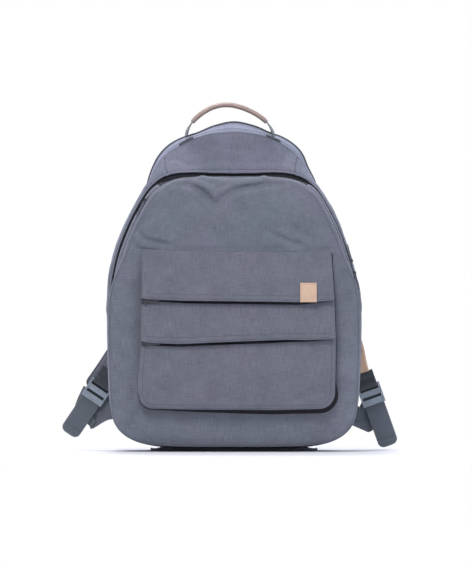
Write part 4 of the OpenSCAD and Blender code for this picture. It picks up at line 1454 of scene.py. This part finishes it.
def lock_band(name, side_name, path, width, thick, mat, taper=1.0):
    """Webbing along a (y, z) path in a buckle's own directions."""
    centre, turn = lock_frame(side_name)
    points = np.column_stack([np.zeros(len(path)), path]) @ turn.T + centre
    return band(name, points, turn[:, 0], width, thick, mat, taper, n_across=16)


def rounded_end(s, total, radius, half):
    """Width factor for webbing whose end corners are rounded."""
    return 1 - turned(np.clip(total - s, 0, None), radius) / half


def buckle_webbing(side_name, loop_y, loop_top, tail):
    """The loop above a buckle, the running webbing in it, and the hanging tail."""
    turn = [(3.1 * math.cos(a), 12.6 + 3.1 * math.sin(a)) for a in np.linspace(0, -pi, 13)]
    path = [(loop_y + 0.7, loop_top), (loop_y + 0.7, 24), (2.8, 19), (3.1, 15), *turn,
            (-3.1, 15), (-2.4, 17.5), (loop_y - 1.0, 21.5), (loop_y - 0.9, 26),
            (loop_y - 0.9, loop_top - 3)]
    # the loop takes the darker webbing copy: painted shade round the buckle
    loop = lock_band("buckle_loop_webbing_" + side_name, side_name, smooth_path(path, 70),
                     26, 1.3, "webbing_painted_shade")
    put(loop, "webbing", "strap_" + side_name, "buckle_loop_" + side_name)

    # the running webbing lies behind the two flat bars and comes out under the lower one; its
    # darker webbing copy is painted shade
    path = smooth_path([(4.7, 11.8), (4.4, 9.4), (3.2, 6.0), (2.5, 1.0), (2.5, -6.0),
                        (2.5, -12.0), (1.7, -15.4), (0.2, -16.6)], 40)
    running = lock_band("buckle_running_webbing_" + side_name, side_name, path, 27.2, 1.3,
                        "webbing_painted_shade")
    put(running, "webbing", "lock_" + side_name)

    path = smooth_path([(0.4, -15.6), (-0.4, -17.2), (-2.6, -22.0), (-3.6, -27.0),
                        (-3.7, -36.0), (-3.3, -50.0), (-3.6, -tail)], 70)
    s = lengths_along(path)
    name = "tail_strap_" + side_name
    strap = lock_band(name, side_name, path, 28, 1.35, "webbing",
                      taper=rounded_end(s, s[-1], radius=8.5, half=14))
    t = np.linspace(0, 1, 30)
    hem_y = np.interp(t, [0, 0.12, 0.5, 0.88, 1], [-4.1, -4.7, -4.9, -4.7, -4.2])
    path = np.stack([hem_y, np.linspace(-tail + 12.5, -tail + 0.5, 30)], 1)
    hem = lock_band("tail_hem_" + side_name, side_name, path, 27.4, 1.5, "webbing",
                    taper=rounded_end(12.0 * t, 12.0, radius=8.0, half=13.7))
    centre, turn = lock_frame(side_name)
    runs = []
    for rise, half, y in ((10.4, 12.6, -5.45), (4.5, 9.6, -5.55)):
        row = np.stack([np.linspace(-half, half, 30), np.full(30, y), np.full(30, rise - tail)], 1)
        runs.append((row @ turn.T + centre, FORWARD))
    stitching = stitches("tail_stitching_" + side_name, runs, pitch=3.0, length=2.2,
                         radius=0.3, lift=0.15)
    put(join(name, [strap, hem]), "webbing", "tail_" + side_name, "tail_webbing_" + side_name)
    put(stitching, "webbing", "tail_" + side_name)


buckle_webbing("right", loop_y=1.4, loop_top=34, tail=77)
buckle_webbing("left", loop_y=2.6, loop_top=36, tail=72)


# ---------------------------------------------------------------- strap ends, lower straps, wings
def leather_tab(side_name, rows, front_y, back_y, bulge):
    """Leather over a strap's lower end, stitched along both sides and faces."""
    name = "strap_tab_" + side_name
    path, half_width = strap_line(rows, 40)
    sides = left_normals(np.gradient(path, axis=0))
    across = np.linspace(-1, 1, 26)
    from_edge = half_width[:, None] * (1 - np.abs(across))
    reach = half_width[:, None] * across
    y = front_y + 0.4 * turned(from_edge, 1.6) - bulge * smooth(0, 6, from_edge)
    y += 0.35 * bell(from_edge, centre=3.0, width=0.6)
    grid = np.stack([path[:, None, 0] + sides[:, None, 0] * reach, y,
                     path[:, None, 1] + sides[:, None, 1] * reach], -1)
    ob = shell(name, grid, back_y - front_y - 0.3, positive_side(grid), ("leather", "leather"))
    put(ob, "leather", "strap_" + side_name, "strap_leather_" + side_name)
    runs = []
    for side in (-1, 1):
        edge = path + sides * (half_width - 3.0)[:, None] * side
        for y, normal in ((front_y - 0.25, FORWARD), (back_y - 0.15, BACKWARD)):
            runs.append((np.stack([edge[:, 0], np.full(len(edge), y), edge[:, 1]], 1), normal))
    stitching = stitches(name + "_stitching", runs, mat="thread_tan", pitch=3.0, length=2.1,
                         radius=0.28, lift=0.2)
    put(stitching, "leather", "strap_" + side_name)


# (x, z, half width) from the top down
leather_tab("right", [[156.6, 160.5, 23], [161, 149, 21], [166, 138, 19], [174, 116, 15.5],
                      [177, 107, 15]], front_y=73.4, back_y=77.0, bulge=0.4)
leather_tab("left", [[-150, 139, 18], [-165, 115, 18], [-181, 96, 17], [-195, 82, 16]],
            front_y=83.4, back_y=85.2, bulge=0.0)


def patch(name, edges, depth, thick, mats, seed, counts=(60, 44)):
    """A four-sided sheet from its (x, z) bottom, top, left and right edges and a depth."""
    n, m = counts
    bottom, top, left, right = (
        resample(smooth_path(edge, 60) if len(edge) > 2 else edge, count)
        for edge, count in zip(edges, (n, n, m, m)))
    left[0], left[-1], right[0], right[-1] = bottom[0], top[0], bottom[-1], top[-1]
    flat = coons(bottom, top, left, right)
    x, z = flat[..., 0], flat[..., 1]
    y = depth(x, z) + 0.25 * fbm(x / 14, z / 12, seed + 200)
    grid = np.stack([x, y, z], -1)
    return shell(name, grid, thick, positive_side(grid), mats)


def wing_y(outer_y):
    """Depth that steps from the pack's back out to the buckle."""
    pack_y = 70.9
    return lambda x, z: pack_y + (outer_y + 0.2 - pack_y) * smooth(156, 172, np.abs(x))


put(patch("lower_strap_right",
          ([(173, 41), (188, 38), (201, 33.5)],
           [(181, 66), (195, 62), (208, 57)],
           [(173, 41), (175, 52), (181, 66)],
           [(201, 33.5), (206, 43), (208, 57)]),
          lambda x, z: 79.4 + 0.6 * np.sin((z - 33) / 9), thick=1.3,
          mats=("webbing", "webbing"), seed=1),
    "webbing", "pack", "lower_webbing_right")
# the left strap's front face takes the lighter webbing copy: painted sheen
put(patch("lower_strap_left",
          ([(-228.5, 54), (-224, 50.5), (-212, 40), (-203.5, 32.5)],
           [(-214, 90), (-210, 88), (-207, 86), (-204, 84)],
           [(-228.5, 54), (-222.5, 72), (-214, 90)],
           [(-203.5, 32.5), (-197.5, 40), (-203, 54), (-201.5, 70), (-204, 84)]),
          lambda x, z: 70.4 + 1.2 * np.sin((x + 230) / 9), thick=1.3,
          mats=("webbing_painted_sheen", "webbing"), seed=2),
    "webbing", "pack", "lower_webbing_left")
put(patch("wing_right",
          ([(157, 40), (175, 32), (192, 24.4)],
           [(157, 74), (171, 66), (185, 52), (199.5, 36.5)],
           [(157, 40), (157, 57), (157, 74)],
           [(192, 24.4), (198, 28), (199.5, 36.5)]),
          wing_y(81), thick=1.8, mats=("canvas", "canvas"), seed=3),
    "canvas", "pack", "anchor_wing_right")
put(patch("wing_left",
          ([(-205.5, 33), (-201, 30.4), (-178, 43), (-157, 42)],
           [(-208, 43), (-199, 59), (-188, 73), (-175, 82), (-157, 86)],
           [(-205.5, 33), (-207.4, 38), (-208, 43)],
           [(-157, 42), (-157, 62), (-157, 86)]),
          wing_y(73), thick=1.8, mats=("canvas", "canvas"), seed=4),
    "canvas", "pack", "anchor_wing_left")

# ---------------------------------------------------------------- carry handle
HANDLE_X, HANDLE_Y, HANDLE_FOOT_Z = -6.0, 52.0, 441.2
HANDLE_HALF_SPAN, HANDLE_RISE = 62, 47


def handle_path(first, last, count):
    """Centre line of the arch between two angles in degrees; 90 is its top."""
    angle = np.radians(np.linspace(first, last, count))
    cos, sin = np.cos(angle), np.sin(angle)
    x = (HANDLE_HALF_SPAN - 14 * sin * sin) * cos
    z = HANDLE_FOOT_Z + HANDLE_RISE * np.maximum(sin, 0) ** 0.9
    upper = np.clip((z - 455) / 33, 0, 1)
    return np.stack([x + HANDLE_X - 5.0 * upper**2, np.full(count, HANDLE_Y), z + upper], 1)


def handle_grip():
    """The leather sleeve round the arch, and its stitching."""
    path = handle_path(26.5, 153.5, 90)
    normal = np.cross(tangents(path), BACKWARD)
    angle = np.linspace(0, 2 * pi, 36, endpoint=False)
    s = lengths_along(path)
    end = quarter(np.minimum(s, s[-1] - s) / 2.2)
    half_depth = 9.0 * (0.88 + 0.12 * end)
    half_thick = 3.3 * (1 + 0.05 * np.sin(pi * s / s[-1])) * (0.6 + 0.4 * end)
    a, b = signed_power(np.cos(angle), 0.72), signed_power(np.sin(angle), 0.85)
    relief = groove(np.abs(a * half_depth[:, None]), 6.3, width=0.7, depth=0.3)
    relief = relief + 0.16 * fbm(s[:, None] / 8, angle[None] * 2.2, seed=131, octaves=3)
    # cross creases on the underside
    beat = np.mod(s[:, None] + 6, 15.0)
    relief = relief + 0.22 * groove(beat, 7.5, width=0.9, depth=1.0) * (b < -0.2)
    up = half_thick[:, None] * b + relief * np.sign(b)
    verts = (path[:, None] + np.array(BACKWARD) * (half_depth[:, None] * a)[..., None]
             + normal[:, None] * up[..., None])
    uvs = np.stack(grid_of(s, angle * 6.0)[::-1], -1)
    ob = sweep("handle_grip_leather", verts, uvs, "leather_pink", sharp=60)
    put(ob, "leather", "handle", "handle_leather")
    runs = []
    for side in (-1, 1):
        for face in (-1, 1):
            row = (path + np.array(BACKWARD) * 6.3 * side
                   + normal * (face * half_thick * 0.86)[:, None])
            runs.append((row[3:-3], normal[3:-3] * face))
    stitching = stitches("handle_stitching", runs, mat="thread_tan", pitch=3.2, length=2.3,
                         radius=0.3, lift=0.25)
    put(stitching, "leather", "handle")


def handle_webbing():
    """The two webbing feet that come out of the grip, slightly twisted."""
    feet = []
    for side, first, last in ((1, -2, 33), (-1, 182, 147)):
        path = handle_path(first, last, 36)
        path = path[path[:, 2] > 444.6]
        twist = smooth(470, 446, path[:, 2]) * 0.22 * side
        across = np.stack([np.sin(twist), np.cos(twist), np.zeros(len(path))], 1)
        taper = 0.62 + 0.38 * smooth(0, 7, lengths_along(path))
        # the feet take the lighter webbing copy: painted sheen
        feet.append(band(f"handle_web{side}", path, across, 17.4, 1.9, "webbing_painted_sheen", taper))
    put(join("handle_webbing_straps", feet), "webbing", "handle", "handle_webbing")


def handle_anchors():
    """Webbing ends sewn over the top seam, following the full outline's top."""
    top_x, top_z = np.array(FULL_HALF[:18:-1]).T
    tabs, runs = [], []
    for side in (-1, 1):
        x = np.linspace(-10, 10, 26) + side * HANDLE_HALF_SPAN + HANDLE_X
        z = np.interp(np.abs(x + shoulder_reach(x)), top_x, top_z)
        path = np.stack([x, np.full(26, 50.2), z + 2.1], 1)
        # the tabs take the lighter webbing copy: painted sheen
        tabs.append(band(f"anchor{side}", path, (0, 1.0, 0.16), 7.0, 1.5, "webbing_painted_sheen"))
        runs += [(path + np.array([0, dy, 0.85]), UPWARD) for dy in (-2.3, 2.3)]
    put(join("handle_anchor_tabs", tabs), "webbing", "pack", "handle_anchors")
    put(stitches("anchor_stitching", runs, pitch=2.6, length=1.9, radius=0.25), "webbing",
        "pack")


handle_grip()
handle_webbing()
handle_anchors()


# ---------------------------------------------------------------- back, base and lining
def back_padding():
    """The padded back, with air channels, and the piping round it."""
    def rim(u):
        return catmull(BACK, u) + inward(u) * 1.6

    flat = ring_grid(rim, *detail((150, 180), (80, 100)))
    x, z = flat[..., 0], flat[..., 1]
    from_rim = seg_dist(x, z, np.vstack([rim(np.arange(0, TURNS, 0.1)), rim(np.zeros(1))]))[0]
    y = 62.2 + 7.4 * quarter(from_rim / 11)
    channel = 2.6 * bell(x, centre=0, width=8.0) * smooth(30, 60, z) * smooth(400, 350, z)
    for channel_z in (118, 214, 310):
        curve = channel_z + 14 * (np.abs(x) / 120) ** 2
        ends = smooth(150, 125, np.abs(x)) * smooth(6, 16, np.abs(x))
        channel += 2.2 * bell(z, curve, width=4.2) * ends
    channel += 1.6 * bell(from_rim, centre=17, width=2.0)
    y += 0.6 * fbm(x / 50, z / 50, seed=141) * smooth(6, 20, from_rim) - channel
    y += 0.7 * smooth(10, 30, from_rim) * np.sin(np.clip((z - 20) / 96, 0, 4) * pi) ** 2
    grid = lean(np.stack([x, np.minimum(y, 70.1), z], -1))
    ob = shell("back_padding", grid, 2.0, -positive_side(grid), ("back_mesh", "lining"))
    put(ob, "back_mesh", "pack", "back_panel")

    u = np.arange(0, TURNS, 0.1)
    edge = catmull(BACK, u) + inward(u) * 0.4
    path = lean(np.stack([edge[:, 0], np.full(len(edge), 63.0), edge[:, 1]], 1))
    put(tube("back_piping", path, radius=2.1, closed=True), "canvas", "pack")


def yoke():
    """The cloth strip across the tops of the straps."""
    edges = ([(-108, 373), (-60, 371), (60, 371), (108, 373)],
             [(-88, 409), (-50, 411), (50, 411), (88, 409)],
             [(-108, 373), (-101, 390), (-88, 409)],
             [(108, 373), (101, 390), (88, 409)])
    ob = patch("yoke", edges, lambda x, z: 71.9, thick=1.5, mats=("canvas", "canvas"), seed=6,
               counts=(80, 30))
    put(ob, "canvas", "pack", "strap_yoke")
    runs = []
    for z, half in ((375.5, 104), (379, 104), (404, 86), (407, 86)):
        row = np.stack([np.linspace(-half, half, 60), np.full(60, 72.1), np.full(60, z)], 1)
        runs.append((row, BACKWARD))
    put(stitches("yoke_stitching", runs), "canvas", "pack")


def base_cloth():
    """The base: a rounded sheet with a turned edge and a low rib near it."""
    x_range, y_range = (-118, 118), (-14, 58)
    x, y = rounded_rect((120, 50), x_range, y_range, radius=14)
    from_edge = np.minimum(edge_gap(x, x_range), edge_gap(y, y_range))
    z = 0.05 + 2.2 * (1 - quarter(from_edge / 2.4)) + 0.25 * bell(from_edge, centre=6, width=0.8)
    grid = np.stack([x, y, z], -1)
    ob = shell("base_cloth", grid, 2.2, positive_side(grid, axis=2), ("base_cloth", "lining"))
    put(ob, "base_cloth", "pack", "base_panel")


def inner_sheet(name, y, inset, thick, replaced, seed):
    """A lining sheet filling the pack's section at one depth."""
    def outline(u):
        return skin(u, y, inset)[:, [0, 2]]

    flat = ring_grid(outline, 70, 80)
    x, z = flat[..., 0], flat[..., 1]
    from_rim = seg_dist(x, z, outline(np.arange(0, TURNS + 0.1, 0.2)))[0]
    sheet_y = (y + 0.5 * fbm(x / 40, z / 40, seed) * smooth(4, 20, from_rim)
               + 0.3 * turned(from_rim, 3))
    grid = np.stack([x, sheet_y, z], -1)
    ob = shell(name, grid, thick, positive_side(grid), ("lining", "lining"))
    put(ob, "lining", "pack", replaced)


def laptop_sleeve():
    """The sleeve's cloth, turned back along its sides and bottom, with a rib near its top."""
    x_range, z_range = (-117.5, 117.5), (16.5, 267.5)
    x, z = rounded_rect((90, 90), x_range, z_range, radius=10)
    from_edge = np.minimum(edge_gap(x, x_range), z - z_range[0])
    y = 48.0 + 6.2 * (1 - quarter(from_edge / 7)) + 0.4 * fbm(x / 40, z / 40, seed=153)
    y += 0.5 * bell(z, centre=258, width=1.0)
    grid = np.stack([x, y, z], -1)
    ob = shell("sleeve_cloth", grid, 1.6, positive_side(grid), ("lining", "lining"))
    put(ob, "lining", "pack", "laptop_sleeve")


back_padding()
yoke()
base_cloth()
inner_sheet("divider_cloth", y=-26.2, inset=4.5, thick=1.8, replaced="divider_panel", seed=151)
inner_sheet("padding_cover", y=55.6, inset=9.0, thick=5.2, replaced="back_foam", seed=152)
laptop_sleeve()


# ---------------------------------------------------------------- hard parts
BEVELS = {"buckle_plastic": 0.00045, "slider_metal": 0.0002}  # m


def hard_parts():
    """Buckles and sliders keep their CAD shape, with eased edges and their own finish."""
    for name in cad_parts:
        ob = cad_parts[name]
        if ob.hide_render:
            continue
        if name.startswith("ladder_lock"):
            kind = "buckle_plastic"
        elif "slider" in name or "pull" in name:
            kind = "slider_metal"
        else:
            continue
        ob.data.materials.clear()
        ob.data.materials.append(MATERIALS[kind])
        bevel = ob.modifiers.new("eased", "BEVEL")
        bevel.width = BEVELS[kind]
        bevel.segments = 2
        bevel.limit_method = "ANGLE"
        bevel.angle_limit = math.radians(35)


hard_parts()


# ---------------------------------------------------------------- stage, light and camera (m)
def paper():
    """Pale paper that fades out round the object, so that no horizon shows."""
    shader = Shader("paper")
    shader.surface(Base_Color=(0.90, 0.90, 0.93, 1), Roughness=0.95, Specular_IOR_Level=0.0)
    place = shader.add("ShaderNodeTexCoord").outputs["Object"]
    distance = shader.add("ShaderNodeVectorMath", operation="LENGTH", Vector=place)
    fade = shader.add("ShaderNodeMapRange", interpolation_type="SMOOTHSTEP", From_Min=0.30,
                      From_Max=0.85, Value=distance.outputs["Value"])
    clear = shader.add("ShaderNodeBsdfTransparent")
    mixer = shader.add("ShaderNodeMixShader", Fac=fade.outputs["Result"])
    shader.link(shader.principled.outputs["BSDF"], mixer.inputs[1])
    shader.link(clear.outputs["BSDF"], mixer.inputs[2])
    shader.link(mixer.outputs["Shader"], shader.output.inputs["Surface"])


def floor():
    bpy.ops.mesh.primitive_grid_add(x_subdivisions=2, y_subdivisions=2, size=2.4,
                                    location=(0, 0, -0.0003))
    ob = bpy.context.object
    ob.name = "floor"
    paper()
    ob.data.materials.append(MATERIALS["paper"])


def studio_world():
    """Soft blue-white light on the objects, plain white to the camera."""
    world = bpy.data.worlds.new("studio")
    scene.world = world
    world.use_nodes = True
    tree = world.node_tree
    sky = tree.nodes["Background"]
    configure(tree, sky, Color=(0.86, 0.90, 1.0, 1), Strength=0.62)
    white = add_node(tree, "ShaderNodeBackground", Color=(1, 1, 1, 1))
    rays = add_node(tree, "ShaderNodeLightPath")
    mixer = add_node(tree, "ShaderNodeMixShader", Fac=rays.outputs["Is Camera Ray"])
    tree.links.new(sky.outputs["Background"], mixer.inputs[1])
    tree.links.new(white.outputs["Background"], mixer.inputs[2])
    output = [node for node in tree.nodes if node.type == "OUTPUT_WORLD"][0]
    tree.links.new(mixer.outputs["Shader"], output.inputs["Surface"])


def area(name, location, size, power, color, target=(0, 0, 0.2)):
    """A rectangular light aimed at the target; power in watts."""
    light = bpy.data.lights.new(name, "AREA")
    light.shape = "RECTANGLE"
    light.size, light.size_y = size
    light.energy = power
    light.color = color
    ob = bpy.data.objects.new(name, light)
    scene.collection.objects.link(ob)
    ob.location = location
    aim = Vector(target) - Vector(location)
    ob.rotation_euler = aim.to_track_quat("-Z", "Y").to_euler()


def front_camera():
    """A distant camera straight in front of the pack."""
    distance, subject_y, view_width = 9.0, 0.06, 0.790
    data = bpy.data.cameras.new("camera")
    ob = bpy.data.objects.new("camera", data)
    scene.collection.objects.link(ob)
    ob.location = (0.0028, -distance, 0.238)
    ob.rotation_euler = (pi / 2, 0, 0)
    data.sensor_fit = "AUTO"
    data.sensor_width = 36.0
    data.lens = data.sensor_width * (distance - subject_y) / view_width
    data.clip_start, data.clip_end = 0.5, 60
    scene.camera = ob


floor()
studio_world()
area("key", location=(-0.5, -1.7, 2.0), size=(0.7, 0.7), power=29, color=(1.0, 0.985, 0.965))
area("fill", location=(1.4, -1.6, 0.8), size=(1.4, 1.4), power=9, color=(0.92, 0.95, 1.0))
area("top", location=(-0.2, 0.75, 1.7), size=(0.5, 0.5), power=15, color=(0.96, 0.97, 1.0))
area("rear", location=(0.3, 1.9, 0.9), size=(1.4, 1.2), power=16, color=(0.95, 0.97, 1.0),
     target=(0, 0, 0.25))
scene.view_settings.view_transform = "Standard"
scene.view_settings.look = "None"
scene.view_settings.exposure = 0.0
front_camera()

bpy.context.view_layer.update()
